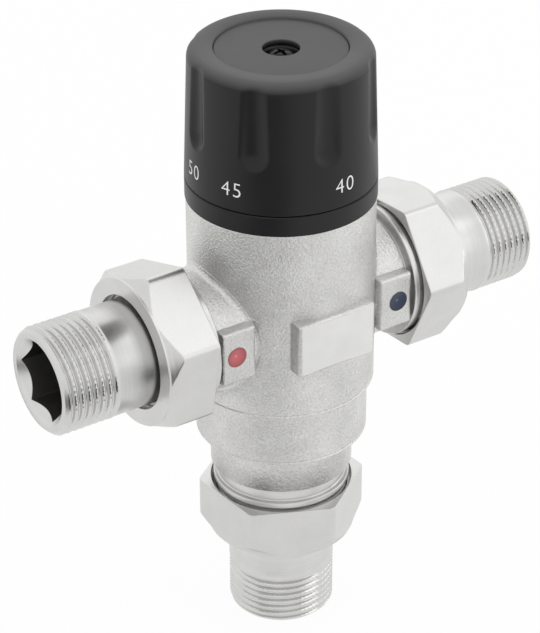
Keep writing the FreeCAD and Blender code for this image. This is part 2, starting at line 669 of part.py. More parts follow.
def spindle():
    """The stem that the knob turns: thread, shoulder, seal groove, clip groove and splines."""
    body = new_body("spindle")
    shoulder_top = s.SocketRoof - s.Seated
    shoulder_foot = shoulder_top - s.ShoulderThick
    seal_top = s.StemSealFoot + s.StemSealWidth
    clip_foot = s.GlandTop + s.Seated
    turned(body, "Turning", [
        (0, s.SpindleFoot), (s.SpindleThread, s.SpindleFoot), (s.SpindleThread, shoulder_foot),
        (s.ShoulderRadius, shoulder_foot), (s.ShoulderRadius, shoulder_top),
        (s.StemOuter, shoulder_top), (s.StemOuter, s.StemSealFoot),
        (s.StemSealFloor, s.StemSealFoot), (s.StemSealFloor, seal_top), (s.StemOuter, seal_top),
        (s.StemOuter, clip_foot), (s.StemClipFloor, clip_foot),
        (s.StemClipFloor, clip_foot + s.ClipThick), (s.StemOuter, clip_foot + s.ClipThick),
        (s.StemOuter, s.SplineFoot), (s.SplineRadius, s.SplineFoot),
        (s.SplineRadius, s.SpindleTop), (0, s.SpindleTop)])
    turned(body, "ScrewHole", [
        (0, s.SpindleTop + SPREAD), (s.ScrewRadius + s.Running, s.SpindleTop + SPREAD),
        (s.ScrewRadius + s.Running, s.SpindleTop - s.ScrewHoleDepth),
        (0, s.SpindleTop - s.ScrewHoleDepth - s.ScrewRadius)], cut=True)
    half = s.SplineDeep * 0.8
    notch = sketch_on(body, "SplineOutline", "XY_Plane",
                      [(s.SplineRadius - s.SplineDeep, 0), (s.SplineRadius + s.SplineDeep, -half * 2.0),
                       (s.SplineRadius + s.SplineDeep, half * 2.0)])
    offset_up(notch, s.SplineFoot)
    groove = sunk(body, "Spline", notch, s.SpindleTop - s.SplineFoot + SPREAD, reverse=True)
    patterned(body, "Splines", groove, SPLINES)


def carrier():
    """The hexagonal nut that the spindle raises and lowers, with the overload spring's chamber."""
    body = new_body("carrier")
    outline = offset_up(sketch_on(body, "HexOutline", "XY_Plane", hexagon(s.CarrierFlats)),
                        s.CarrierFoot)
    raised(body, "Hex", outline, s.CarrierTop - s.CarrierFoot)
    thread = s.SpindleThread + s.Running
    clip_floor = s.ChamberRadius + s.ClipDeep
    turned(body, "Bores", [
        (0, s.CarrierFoot - SPREAD), (s.ChamberRadius, s.CarrierFoot - SPREAD),
        (s.ChamberRadius, s.ClipSlot), (clip_floor, s.ClipSlot),
        (clip_floor, s.ClipSlot + s.ClipThick), (s.ChamberRadius, s.ClipSlot + s.ClipThick),
        (s.ChamberRadius, s.ChamberTop), (thread, s.ChamberTop), (thread, s.CarrierTop + SPREAD),
        (0, s.CarrierTop + SPREAD)], cut=True)


def overload_cap():
    """The cap that takes the element's pin and gives way on the overload spring."""
    body = new_body("overload_cap")
    foot = s.ClipSlot + s.ClipThick
    hole = s.PinRadius + s.Running
    turned(body, "Turning", [
        (0, s.CapBossTop), (s.CapBoss, s.CapBossTop), (s.CapBoss, foot + s.CapThick),
        (s.ChamberRadius - s.Running, foot + s.CapThick), (s.ChamberRadius - s.Running, foot),
        (hole, foot), (hole, s.CapHole), (0, s.CapHole)])


def element():
    """The wax capsule and its pin."""
    body = new_body("wax_element")
    flange = s.HubHalf + s.Seated
    hole = s.PinRadius + s.Running
    turned(body, "Turning", [
        (0, -s.CapsuleDrop), (s.CapsuleRadius - 1.0, -s.CapsuleDrop),
        (s.CapsuleRadius, 1.0 - s.CapsuleDrop), (s.CapsuleRadius, flange),
        (s.CapsuleFlange, flange), (s.CapsuleFlange, flange + s.CapsuleFlangeThick),
        (s.CapsuleNeck, flange + s.CapsuleFlangeThick), (s.CapsuleNeck, s.CapsuleNeckTop),
        (hole, s.CapsuleNeckTop), (hole, -(s.PinFoot + s.Seated)), (0, -(s.PinFoot + s.Seated))])
    pin = new_body("element_pin")
    turned(pin, "Turning", rectangle(0, s.PinRadius, -s.PinFoot, s.CapHole - s.Seated))


def shuttle():
    """The sleeve that shares the flow between hot and cold, with the hub that holds the element."""
    body = new_body("shuttle")
    inner = s.ShuttleRadius - s.ShuttleWall
    turned(body, "Sleeve", [
        (inner, -s.ShuttleHalf), (s.ShuttleRadius, -s.ShuttleHalf),
        (s.ShuttleRadius, -s.ShuttleGrooveHalf), (s.ShuttleGroove, -s.ShuttleGrooveHalf),
        (s.ShuttleGroove, s.ShuttleGrooveHalf), (s.ShuttleRadius, s.ShuttleGrooveHalf),
        (s.ShuttleRadius, s.ShuttleHalf), (inner, s.ShuttleHalf)])
    arm = sketch_on(body, "ArmOutline", "XY_Plane",
                    rectangle(s.CapsuleFlange, inner + 0.2, s.HubArm * -0.5, s.HubArm * 0.5))
    spoke = raised(body, "Arm", arm, s.HubHalf * 2.0, centred=True)
    patterned(body, "Arms", spoke, HUB_ARMS)
    turned(body, "Hub", rectangle(s.CapsuleRadius + s.Running, s.HubRadius, -s.HubHalf, s.HubHalf))


def index_ring():
    """The black ring under the knob, with the lug that stops the knob."""
    body = new_body("index_ring", turn=s.KnobTurn.value)
    foot = s.BarrelTop + s.Seated
    top = foot + s.RingHeight
    web = foot + s.RingWeb
    turned(body, "Ring", [
        (BONNET_BORE, foot), (KNOB_RADIUS, foot), (KNOB_RADIUS, top - 0.25),
        (KNOB_RADIUS - 0.25, top), (RING_INNER, top), (RING_INNER, web), (BONNET_BORE, web)])
    turned(body, "Stop", [
        (STOP_INNER, web), (RING_INNER, web), (RING_INNER, top), (STOP_OUTER, top),
        (STOP_OUTER, s.StopTop), (STOP_INNER, s.StopTop)], angle=s.StopAngle, centred=True)


def cut_flutes(body, rim):
    """Ball-nosed finger flutes that run out through the knob's rounded top, with soft edges."""
    centre = rim + s.KnobTaper * 0.4 + s.FluteRadius - s.FluteDepth
    floor = centre - s.FluteRadius
    top = s.KnobTop + SPREAD
    sketch = empty_sketch(body, "FluteProfile", "XZ_Plane")
    corners = [(floor, top), (floor, s.FluteFoot), (centre, s.FluteFoot - s.FluteRadius),
               (centre, top)]
    points = [Vector(x.value, y.value, 0) for x, y in corners]
    ball = Part.Circle(Vector(centre.value, s.FluteFoot.value, 0), Vector(0, 0, 1),
                       s.FluteRadius.value)
    sketch.addGeometry(Part.LineSegment(points[0], points[1]), False)
    sketch.addGeometry(Part.ArcOfCircle(ball, math.pi, 1.5 * math.pi), False)
    sketch.addGeometry(Part.LineSegment(points[2], points[3]), False)
    sketch.addGeometry(Part.LineSegment(points[3], points[0]), False)
    for line in range(4):
        sketch.addConstraint(Sketcher.Constraint("Coincident", line, 2, (line + 1) % 4, 1))
    for line, kind in ((0, "Vertical"), (2, "Vertical"), (3, "Horizontal")):
        sketch.addConstraint(Sketcher.Constraint(kind, line))
    sketch.addConstraint(Sketcher.Constraint("Horizontal", 1, 3, 1, 1))
    bind_point(sketch, 1, centre, s.FluteFoot, point=3)
    bind(sketch, s.FluteRadius, "Radius", 1)
    bind(sketch, centre, "DistanceX", -1, 1, 2, 1)
    bind(sketch, top, "DistanceY", -1, 1, 2, 2)
    add_axis(sketch, centre)
    flute = revolve(body, "Flute", sketch, cut=True, axis="Axis0")
    patterned(body, "Flutes", flute, FLUTES)

    def flute_edge(edge):
        middle = edge.valueAt(0.5 * (edge.FirstParameter + edge.LastParameter))
        step = 2.0 * math.pi / FLUTES
        angle = math.atan2(middle.y, middle.x)
        angle -= round(angle / step) * step
        radius = math.hypot(middle.x, middle.y)
        below = min(0.0, middle.z - s.FluteFoot.value)
        away = Vector(radius * math.cos(angle) - centre.value, radius * math.sin(angle), below)
        return (abs(away.Length - s.FluteRadius.value) < 1e-3 and edge.BoundBox.ZLength > 1e-3
                and radius > floor.value + 0.1)

    rounded(body, "FluteEdges", s.FluteRound, flute_edge)


def knob():
    """The fluted temperature knob: tapered shell, hub, ribs, stop rib, and seat for the cap disc."""
    body = new_body("knob", turn=s.KnobTurn.value)
    rim = KNOB_RADIUS - s.KnobTaper
    turned(body, "Blank", [
        (0, s.KnobFoot), (KNOB_RADIUS, s.KnobFoot), (rim, s.KnobTop), (0, s.KnobTop)])
    rounded(body, "TopRound", s.KnobRound, lambda edge: is_circle(edge, rim, s.KnobTop))
    cut_flutes(body, rim)
    inner_foot = KNOB_RADIUS - s.KnobWall
    inner_top = rim - s.KnobWall
    ceiling = s.KnobTop - s.KnobRoof
    disc_floor = s.KnobTop - s.DiscSunk - s.DiscThick - s.Seated
    turned(body, "Hollow", [
        (0, s.KnobFoot - SPREAD), (inner_foot, s.KnobFoot - SPREAD), (inner_foot, s.KnobFoot),
        (inner_top, ceiling), (0, ceiling)], cut=True)
    rib = sketch_on(body, "RibOutline", "XZ_Plane",
                    rectangle(s.KnobHub - 1.0, inner_foot, s.KnobHubFoot + 4.0, ceiling + 0.3))
    web = raised(body, "Rib", rib, s.KnobRib, centred=True)
    patterned(body, "Ribs", web, KNOB_RIBS)
    stop = offset_up(sketch_on(body, "StopRibOutline", "XY_Plane", rectangle(
        -(inner_foot + 0.4), -(inner_foot - s.StopRibDepth),
        s.StopRibWidth * -0.5, s.StopRibWidth * 0.5)), s.KnobFoot + 0.4)
    raised(body, "StopRib", stop, ceiling - s.KnobFoot)
    turned(body, "Hub", rectangle(0, s.KnobHub, s.KnobHubFoot, ceiling + 0.3))
    web_foot = s.SpindleTop + s.Seated
    web_top = web_foot + s.HubWeb
    bore = s.SplineRadius + s.Running
    turned(body, "HubBore", [
        (0, s.KnobHubFoot - SPREAD), (bore, s.KnobHubFoot - SPREAD), (bore, web_foot),
        (s.ScrewRadius + s.Running * 2.0, web_foot), (s.ScrewRadius + s.Running * 2.0, web_top),
        (s.ScrewWell, web_top), (s.ScrewWell, disc_floor), (s.DiscRadius + s.Running, disc_floor),
        (s.DiscRadius + s.Running, s.KnobTop + SPREAD), (0, s.KnobTop + SPREAD)], cut=True)
    disc = new_body("knob_cap_disc")
    turned(disc, "Turning", rectangle(s.ScrewWell, s.DiscRadius, disc_floor + s.Seated,
                                      s.KnobTop - s.DiscSunk))
    screw_seat = web_top + s.Seated
    knob_screw(screw_seat)


def knob_screw(seat):
    """The pan-head screw that holds the knob on its spindle."""
    body = new_body("knob_screw")
    head = seat + s.ScrewHeadHeight
    turned(body, "Turning", [
        (0, seat - s.ScrewLength), (s.ScrewRadius - 0.5, seat - s.ScrewLength),
        (s.ScrewRadius, seat - s.ScrewLength + 0.5), (s.ScrewRadius, seat), (s.ScrewHead, seat),
        (s.ScrewHead, head - 0.9), (s.ScrewHead * 0.82, head - 0.25), (s.ScrewHead * 0.45, head),
        (0, head)])
    wide = s.CrossWidth * 0.5
    reach = s.CrossReach
    cross = offset_up(sketch_on(body, "CrossOutline", "XY_Plane", [
        (reach, -wide), (reach, wide), (wide, wide), (wide, reach), (-wide, reach), (-wide, wide),
        (-reach, wide), (-reach, -wide), (-wide, -wide), (-wide, -reach), (wide, -reach),
        (wide, -wide)]), head)
    sunk(body, "Cross", cross, s.CrossDepth)


def union(name, where, nut_turn, socket_turn):
    """One union end, drawn along +Z from the nut's inner face: nut, gasket and tailpiece."""
    seat = s.ThreadReach + s.Seated
    flange = seat + s.GasketThick + s.Seated
    shoulder = flange + s.FlangeThick + s.Seated
    union_nut(name, where, nut_turn, shoulder)
    gasket = new_body(name + "_gasket", where)
    turned(gasket, "Washer", rectangle(s.GasketBore, s.FlangeRadius, seat, seat + s.GasketThick))
    tailpiece(name, where, socket_turn, flange)


def union_nut(name, where, turn, shoulder):
    """Hexagon nut with a turned rim outside, and the thread and shoulder inside."""
    nut = new_body(name + "_union_nut", where, turn)
    raised(nut, "Hex", sketch_on(nut, "HexOutline", "XY_Plane", hexagon(s.NutFlats)), s.NutLength)

    def corner(edge):
        return isinstance(edge.Curve, Part.Line) and edge.BoundBox.ZLength > 1.0

    rounded(nut, "Corners", s.NutCorner, corner)
    rim_foot = s.NutLength - s.NutRimWidth
    band_foot = rim_foot - s.NutBandWidth
    slope = 4.0
    turned(nut, "Rim", [
        (s.NutRim, s.NutLength + SPREAD), (s.NutRim, rim_foot), (s.NutBandRadius, band_foot),
        (s.NutBandRadius + slope, band_foot - slope),
        (s.NutBandRadius + slope, s.NutLength + SPREAD)], cut=True)
    thread = s.UnionThread + s.ThreadFit
    turned(nut, "ThreadAndBore", [
        (0, -SPREAD), (s.NutMouth, -SPREAD), (s.NutMouth, s.NutMouthDepth),
        (thread, s.NutMouthDepth + (s.NutMouth - thread)), (thread, shoulder),
        (s.NutBore, shoulder), (s.NutBore, s.NutLength + SPREAD), (0, s.NutLength + SPREAD)],
        cut=True)


def tailpiece(name, where, turn, flange):
    """Flanged tube with a threaded end and a hexagon socket inside for the fitting key."""
    tail = new_body(name + "_tailpiece", where, turn)
    end = flange + s.TailLength
    neck = flange + s.FlangeThick
    wide_end = flange + s.TailBoreDepth
    turned(tail, "Turning", [
        (s.TailBore, flange), (s.FlangeRadius, flange), (s.FlangeRadius, neck),
        (s.TailRadius, neck), (s.TailRadius, end - s.ThreadLength),
        (s.TailThread, end - s.ThreadLength), (s.TailThread, end - s.TailChamfer),
        (s.TailThread - s.TailChamfer, end), (s.TailThroat, end),
        (s.TailThroat, wide_end + (s.TailBore - s.TailThroat)), (s.TailBore, wide_end)])
    socket = offset_up(sketch_on(tail, "SocketOutline", "XY_Plane", hexagon(s.SocketFlats)), end)
    sunk(tail, "Socket", socket, s.SocketDepth)
    turned(tail, "Countersink", [
        (0, end + SPREAD), (s.SocketMouth + SPREAD, end + SPREAD),
        (0, end - s.SocketMouth)], cut=True)


def inlet_cartridges(name, where):
    """Strainer and check valve of one inlet, drawn in the frame of its union."""
    face = s.ThreadReach - s.Seated
    rim = face - s.StrainerRim
    cup = s.StrainerRadius - s.StrainerWall
    cup_end = face + s.StrainerLength
    strainer = new_body(name + "_strainer", where)
    turned(strainer, "Cup", [
        (cup, rim), (s.CageRadius, rim), (s.CageRadius, face), (s.StrainerRadius, face),
        (s.StrainerRadius, cup_end), (0, cup_end), (0, cup_end - s.StrainerWall),
        (cup, cup_end - s.StrainerWall)])
    slot = sketch_on(strainer, "SlotOutline", "XZ_Plane", rectangle(
        s.StrainerSlot * -0.5, s.StrainerSlot * 0.5, face + 1.2, cup_end - 1.6))
    cut = sunk(strainer, "Slot", slot, s.StrainerRadius + SPREAD)
    patterned(strainer, "Slots", cut, STRAINER_SLOTS)
    check_valve(name, where, rim - s.Seated)


def check_valve(name, where, top):
    """Cage, poppet and spring: the poppet opens inwards."""
    foot = top - s.CageLength
    seat = top - s.CageSeatThick
    inside = s.CageRadius - s.CageWall
    guide = foot + s.CageFoot
    cage = new_body(name + "_check_cage", where)
    turned(cage, "Tube", [
        (inside, foot), (s.CageRadius, foot), (s.CageRadius, top), (s.CageSeat, top),
        (s.CageSeat, seat), (inside, seat)])
    arm = offset_up(sketch_on(cage, "ArmOutline", "XY_Plane", rectangle(
        s.CageHub - 0.5, inside + 0.3, s.CageArm * -0.5, s.CageArm * 0.5)), guide)
    spoke = raised(cage, "Arm", arm, s.CageHubThick)
    patterned(cage, "Arms", spoke, GUIDE_ARMS)
    turned(cage, "Guide", rectangle(s.StemRadius + s.Running, s.CageHub, guide,
                                    guide + s.CageHubThick))
    poppet = new_body(name + "_check_poppet", where)
    face = seat - s.Seated
    back = face - s.PoppetThick
    turned(poppet, "Turning", [
        (0, back - s.StemLength), (s.StemRadius, back - s.StemLength), (s.StemRadius, back),
        (s.PoppetRadius - 0.8, back), (s.PoppetRadius, back + 0.8), (s.PoppetRadius, face),
        (0, face)])
    coil_spring(name + "_check_spring", s.PoppetSpringRadius, s.PoppetSpringWire,
                guide + s.CageHubThick, back, POPPET_TURNS, where)


def build():
    """Every piece of the valve, then the checks and the files."""
    valve_body()
    bonnet()
    index_ring()
    knob()
    spindle()
    carrier()
    overload_cap()
    element()
    shuttle()
    seal_ring("bonnet_seal", BONNET_GROOVE, BONNET_BORE,
              s.BonnetGrooveFoot + s.BonnetGrooveWidth * 0.5)
    seal_ring("spindle_seal", s.StemSealFloor, s.StemOuter + s.Running,
              s.StemSealFoot + s.StemSealWidth * 0.5)
    seal_ring("shuttle_seal", s.ShuttleGroove, s.GuideRadius, as_size(0.0))
    clip("spindle_clip", s.StemClipFloor + s.Seated, s.StemOuter + 1.6,
         s.GlandTop + s.Seated * 2.0)
    clip("overload_clip", s.ChamberRadius - 1.4, s.ChamberRadius + s.ClipDeep - s.Seated,
         s.ClipSlot + s.Seated)
    cap_top = s.ClipSlot + s.ClipThick + s.CapThick
    coil_spring("overload_spring", s.OverloadSpringRadius, s.OverloadSpringWire, cap_top,
                s.ChamberTop, OVERLOAD_TURNS)
    coil_spring("return_spring", s.ReturnSpringRadius, s.ReturnSpringWire, -s.SpringLedge,
                -s.HubHalf, RETURN_TURNS)
    union("hot", HOT, s.HotNutTurn.value, s.SocketTurn.value)
    union("cold", COLD, s.ColdNutTurn.value, s.SocketTurn.value)
    union("outlet", OUTLET, s.OutletNutTurn.value, s.SocketTurn.value)
    inlet_cartridges("hot", HOT)
    inlet_cartridges("cold", COLD)


def check_and_export():
    """Stop on any failed object, then write one STEP file for each piece."""
    doc.recompute()
    for item in doc.Objects:
        if "Invalid" in item.State or "Error" in item.State:
            sys.exit(f"{item.Name} ({item.Label}) failed: {item.State}")
    for piece in pieces:
        if piece.Shape.isNull() or not piece.Shape.isValid() or len(piece.Shape.Solids) != 1:
            sys.exit(f"{piece.Label} is not one valid solid: {len(piece.Shape.Solids)} solids")
    os.makedirs("parts", exist_ok=True)
    for piece in pieces:
        piece.Shape.exportStep(f"parts/{piece.Label}.step")
    print(f"{len(pieces)} pieces written")


build()
check_and_export()
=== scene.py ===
"""Looks of the mixing valve: plated castings, turned unions with real threads, and a fluted knob.

Metres throughout, in the part's own frame: +Z up the barrel, X along the inlets, front to -Y, and
the origin on the outlet's axis, inside its pipe thread.  A turned piece is worked out about its
own +Z and then placed on the barrel, on one of the three ports or on the front.
"""

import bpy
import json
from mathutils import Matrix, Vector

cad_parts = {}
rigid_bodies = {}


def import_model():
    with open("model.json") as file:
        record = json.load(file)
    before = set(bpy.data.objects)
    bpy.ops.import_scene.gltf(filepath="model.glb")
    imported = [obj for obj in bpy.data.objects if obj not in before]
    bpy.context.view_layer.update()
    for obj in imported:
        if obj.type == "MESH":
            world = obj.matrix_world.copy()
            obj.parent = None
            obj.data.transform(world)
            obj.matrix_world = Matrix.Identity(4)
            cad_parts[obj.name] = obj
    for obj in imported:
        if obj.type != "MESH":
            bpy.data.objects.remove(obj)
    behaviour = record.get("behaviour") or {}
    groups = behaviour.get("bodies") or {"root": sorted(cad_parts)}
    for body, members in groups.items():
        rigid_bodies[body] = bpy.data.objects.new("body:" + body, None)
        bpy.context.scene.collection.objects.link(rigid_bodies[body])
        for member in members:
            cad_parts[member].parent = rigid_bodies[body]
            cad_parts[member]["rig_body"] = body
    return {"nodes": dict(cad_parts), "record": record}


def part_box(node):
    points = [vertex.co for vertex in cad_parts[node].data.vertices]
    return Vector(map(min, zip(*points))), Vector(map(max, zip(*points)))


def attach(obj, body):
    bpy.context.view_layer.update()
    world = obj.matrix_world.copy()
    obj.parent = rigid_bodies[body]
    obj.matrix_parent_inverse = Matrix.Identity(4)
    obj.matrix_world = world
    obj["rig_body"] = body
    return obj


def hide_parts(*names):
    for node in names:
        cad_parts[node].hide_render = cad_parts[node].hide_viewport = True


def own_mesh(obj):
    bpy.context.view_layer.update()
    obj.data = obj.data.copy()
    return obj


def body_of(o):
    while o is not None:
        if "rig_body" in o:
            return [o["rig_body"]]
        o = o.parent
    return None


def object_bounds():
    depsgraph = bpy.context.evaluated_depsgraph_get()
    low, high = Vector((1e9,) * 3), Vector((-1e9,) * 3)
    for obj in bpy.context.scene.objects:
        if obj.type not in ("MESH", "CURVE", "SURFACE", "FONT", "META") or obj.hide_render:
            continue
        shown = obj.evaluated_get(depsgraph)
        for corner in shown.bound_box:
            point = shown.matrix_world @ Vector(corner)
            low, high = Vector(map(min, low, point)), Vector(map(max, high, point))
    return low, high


bl_info = {
    "name": "Mixing Valve Looks",
    "version": (1, 0, 0),
    "blender": (4, 5, 0),
    "location": "3D View > Sidebar > Mixing valve",
    "description": "Builds the visible surfaces, finishes and studio of a mixing valve",
    "category": "Mesh",
}

import json
import math

import bmesh
import bpy
import numpy as np
from bpy.props import FloatProperty, FloatVectorProperty, IntProperty, PointerProperty
from mathutils import Vector

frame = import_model()
CAD_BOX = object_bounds()

MM = 0.001
TURN = 2.0 * math.pi


# --- sizes taken from the solids --------------------------------------------------------------


def side(node, end, axis):
    """Where a node's box ends: end 0 is low and 1 is high, axis 0 to 2 is X to Z."""
    return float(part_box(node)[end][axis])


AXIS_HEIGHT = (side("cold_tailpiece", 0, 2) + side("cold_tailpiece", 1, 2)) / 2.0
FLOOR_HEIGHT = float(CAD_BOX[0][2])
INLET_FACE = side("cold_union_nut", 0, 0)
OUTLET_FACE = AXIS_HEIGHT - side("outlet_union_nut", 1, 2)
NUT_LENGTH = side("cold_union_nut", 1, 0) - INLET_FACE
FLANGE_FACE = side("cold_tailpiece", 0, 0) - INLET_FACE
TAIL_END = side("cold_tailpiece", 1, 0) - INLET_FACE
TAIL_FLANGE_RADIUS = side("cold_tailpiece", 1, 1)
BODY_END = side("valve_body", 1, 0) - INLET_FACE
KNOB_FOOT, KNOB_TOP = (side("knob", end, 2) - AXIS_HEIGHT for end in (0, 1))
KNOB_RADIUS = side("index_ring", 1, 1)
RING_FOOT = side("index_ring", 0, 2) - AXIS_HEIGHT
PLATE_FACE = -side("valve_body", 0, 1)
DISC_LOW, DISC_HIGH = (side("knob_cap_disc", end, 2) - AXIS_HEIGHT for end in (0, 1))
DISC_RADIUS = side("knob_cap_disc", 1, 0)
SCREW_FOOT, SCREW_TOP = (side("knob_screw", end, 2) - AXIS_HEIGHT for end in (0, 1))
SCREW_HEAD_RADIUS = side("knob_screw", 1, 0)


# --- settings ---------------------------------------------------------------------------------


def size(name, millimetres, text):
    """A length property whose default is given in millimetres."""
    return FloatProperty(name=name, description=text, default=millimetres * MM, min=0.0,
                         unit="LENGTH", precision=5)


def angle(name, degrees, text):
    """An angle property whose default is given in degrees."""
    return FloatProperty(name=name, description=text, default=math.radians(degrees),
                         subtype="ANGLE")


def colour(name, values, text):
    """A colour property."""
    return FloatVectorProperty(name=name, description=text, default=values, size=3, min=0.0,
                               max=1.0, subtype="COLOR")


def factor(name, value, text, highest):
    """A plain number property."""
    return FloatProperty(name=name, description=text, default=value, min=0.0, max=highest)


class BodySizes(bpy.types.PropertyGroup):
    """Steps of the forged body."""

    barrel_radius: size("Barrel radius", 22.7, "Radius of the upper barrel")
    barrel_drop: size("Barrel drop", 19.6, "Lower edge of the upper barrel below the inlets")
    waist_radius: size("Waist radius", 21.1, "Radius of the middle step")
    waist_drop: size("Waist drop", 34.0, "Lower edge of the middle step below the inlets")
    foot_radius: size("Foot radius", 17.6, "Radius of the lowest cast step")
    foot_drop: size("Foot drop", 44.1, "Lower edge of the lowest cast step below the inlets")
    outlet_relief: size("Outlet relief", 15.9, "Radius of the turned neck above the outlet")
    neck_radius: size("Neck radius", 15.0, "Radius of an inlet neck")
    neck_fillet: size("Neck fillet", 1.6, "Ball radius where a neck meets the barrel")
    neck_end: size("Neck end", 27.2, "End of a cast neck from the barrel's axis")
    inlet_relief: size("Inlet relief", 14.2, "Radius of the turned neck behind an inlet's collar")
    collar_radius: size("Collar radius", 17.0, "Radius of a turned collar")
    collar_width: size("Collar width", 1.6, "Width of a turned collar")
    collar_gap: size("Collar gap", 0.3, "Gap from a collar to its nut")
    thread_radius: size("Thread radius", 16.62, "Crest radius of the union thread")
    thread_pitch: size("Thread pitch", 2.309, "Pitch of the union thread")
    thread_depth: size("Thread depth", 1.35, "Depth of the union thread")
    boss_inner: size("Boss inner edge", 18.0, "Inner edge of a marked boss")
    boss_half: size("Boss half height", 7.0, "Half height of a marked boss")
    boss_face: size("Boss face", 16.3, "Front of a boss from the barrel's axis")
    mark_radius: size("Mark radius", 2.7, "Radius of the drilled colour mark")
    mark_depth: size("Mark depth", 1.1, "Depth of the drilled colour mark")
    mark_shift: size("Mark shift", 0.7, "How far a mark stands outward from its boss's middle")
    plate_half: size("Plate half width", 10.8, "Half width of the bare front plate")
    plate_top: size("Plate top", 7.6, "Upper edge of the plate above the inlets' axis")
    plate_low: size("Plate foot", 6.2, "Lower edge of the plate below the inlets' axis")


class UnionSizes(bpy.types.PropertyGroup):
    """Nuts and tailpieces of the three ports."""

    flats: size("Across flats", 36.4, "Width of a nut across its flats")
    corner: size("Corner rounding", 2.2, "Rounding of a nut's corners")
    rim: size("Rim radius", 18.3, "Turned rim at a nut's outer face")
    rim_width: size("Rim width", 0.5, "Straight part of the rim")
    band: size("Band radius", 19.0, "Foot of the turned rim")
    band_width: size("Band width", 1.1, "Rim to foot")
    bore: size("Nut bore", 14.04, "Hole for the tailpiece")
    shoulder: size("Nut web", 2.55, "Thickness of the nut's web")
    mouth: size("Nut mouth", 17.6, "Relief at the nut's inner face")
    hot_turn: angle("Hot nut turn", 49.0, "Where the hot nut stopped")
    cold_turn: angle("Cold nut turn", 25.4, "Where the cold nut stopped")
    outlet_turn: angle("Outlet nut turn", 25.0, "Where the outlet nut stopped")
    pipe_radius: size("Pipe thread radius", 13.22, "Crest radius of the pipe thread")
    plain_radius: size("Plain radius", 13.06, "Plain part of a tailpiece")
    pipe_pitch: size("Pipe thread pitch", 1.814, "Pitch of the pipe thread")
    pipe_depth: size("Pipe thread depth", 1.0, "Depth of the pipe thread")
    pipe_thread: size("Pipe thread length", 14.2, "Length of the pipe thread")
    notches: IntProperty(name="Notches", description="Notches round the crests of a pipe thread",
                         default=64, min=0)
    notch_depth: size("Notch depth", 0.15, "Depth of a notch in a crest")
    end_chamfer: size("End chamfer", 1.2, "Chamfer at the pipe end")
    socket_flats: size("Socket flats", 17.0, "Hexagon socket for the fitting key")
    socket_depth: size("Socket depth", 13.0, "Depth of the hexagon socket")
    socket_mouth: size("Socket mouth", 10.7, "Countersink of the socket")
    socket_turn: angle("Socket turn", 24.0, "Where the socket's corners stand")
    bore_wide: size("Bore", 9.4, "Waterway behind the socket")
    bore_throat: size("Throat", 8.3, "Narrowest part of the waterway")
    bore_depth: size("Bore depth", 12.0, "Length of the wide waterway")


class KnobSizes(bpy.types.PropertyGroup):
    """Knob, cap disc and screw."""

    taper: size("Taper", 1.1, "How much slimmer the knob is at its top")
    top_round: size("Top rounding", 3.0, "Rounding of the top edge")
    wall: size("Wall", 2.4, "Wall of the knob")
    roof: size("Roof", 4.1, "Roof of the knob with its cap disc")
    flutes: IntProperty(name="Flutes", description="Number of finger flutes", default=8, min=3)
    flute_turn: angle("Flute turn", -5.2, "First flute from the cold side")
    flute_radius: size("Flute radius", 5.6, "Radius of the flute cutter")
    flute_depth: size("Flute depth", 1.15, "Depth of a flute")
    flute_foot: size("Flute foot", 50.5, "Centre of a flute's ball end above the inlets' axis")
    flute_soft: size("Flute softness", 0.6, "Blend of a flute into the skirt")
    digit_height: size("Digit height", 3.75, "Height of the printed numbers")
    digit_foot: size("Digit foot", 39.2, "Foot of the numbers above the inlets' axis")
    well: size("Screw well", 4.4, "Radius of the well round the screw")
    hub: size("Hub radius", 8.5, "Hub on the spindle")


class FinishColours(bpy.types.PropertyGroup):
    """Colours of the finishes."""

    casting: colour("Casting", (0.71, 0.705, 0.69), "Nickel over the blasted forging")
    plating: colour("Plating", (0.66, 0.657, 0.645), "Nickel over turned and milled brass")
    plastic: colour("Plastic", (0.008, 0.008, 0.0083), "Knob and ring")
    # A lighter grey: partly the top's matt grain and partly painted sheen from the light above.
    plastic_top_sheen: colour("Matt top", (0.088, 0.088, 0.089), "Spark-eroded top of the knob")
    # Partly unplated brass and partly painted shade inside the socket and waterway.
    bore: colour("Bore", (0.20, 0.195, 0.18), "Dull brass inside the tailpieces")
    ink: colour("Ink", (0.80, 0.80, 0.80), "Printed numbers")
    hot_paint: colour("Hot mark", (0.44, 0.10, 0.11), "Paint of the hot mark")
    cold_paint: colour("Cold mark", (0.012, 0.022, 0.06), "Paint of the cold mark")
    screw: colour("Screw", (0.03, 0.03, 0.032), "Blackened screw")


class StudioSettings(bpy.types.PropertyGroup):
    """Camera and light."""

    azimuth: angle("Azimuth", -33.96, "Camera's turn about the barrel")
    elevation: angle("Elevation", 30.37, "Camera's height above the horizon")
    distance: FloatProperty(name="Distance", description="Camera to the crossing of the axes",
                            default=0.6576, min=0.1, unit="LENGTH")
    lens: FloatProperty(name="Lens", description="Focal length in millimetres", default=154.2,
                        min=1.0)
    key: factor("Top light", 1.0, "Power of the light above", 50.0)
    fill: factor("Side light", 1.0, "Power of the lights beside", 50.0)
    ambient: factor("Ambient", 0.95, "World's light on matt surfaces", 5.0)


# Columns of mesh round each kind of piece, and rows to one turn of a thread.
COLUMNS = {"barrel": 288, "neck": 224, "pad": 200, "mark": 64, "nut": 360, "tail": 320,
           "knob": 640, "disc": 192, "screw": 96}
UNION_ROWS, PIPE_ROWS = 10, 15


# --- places -----------------------------------------------------------------------------------


class Place:
    """Where a turned piece goes: the directions of its axes and the point it is drawn about."""

    def __init__(self, across, front, along, origin):
        self.axes = np.array([across, front, along], dtype=float)
        self.origin = np.array(origin, dtype=float)

    def of(self, points):
        """Points of the piece's own frame in the part's frame."""
        return points @ self.axes + self.origin


def on_front(middle, height=0.0):
    """The place of a piece that looks out of the valve's front."""
    return Place((1, 0, 0), (0, 0, 1), (0, -1, 0), (middle, 0, AXIS_HEIGHT + height))


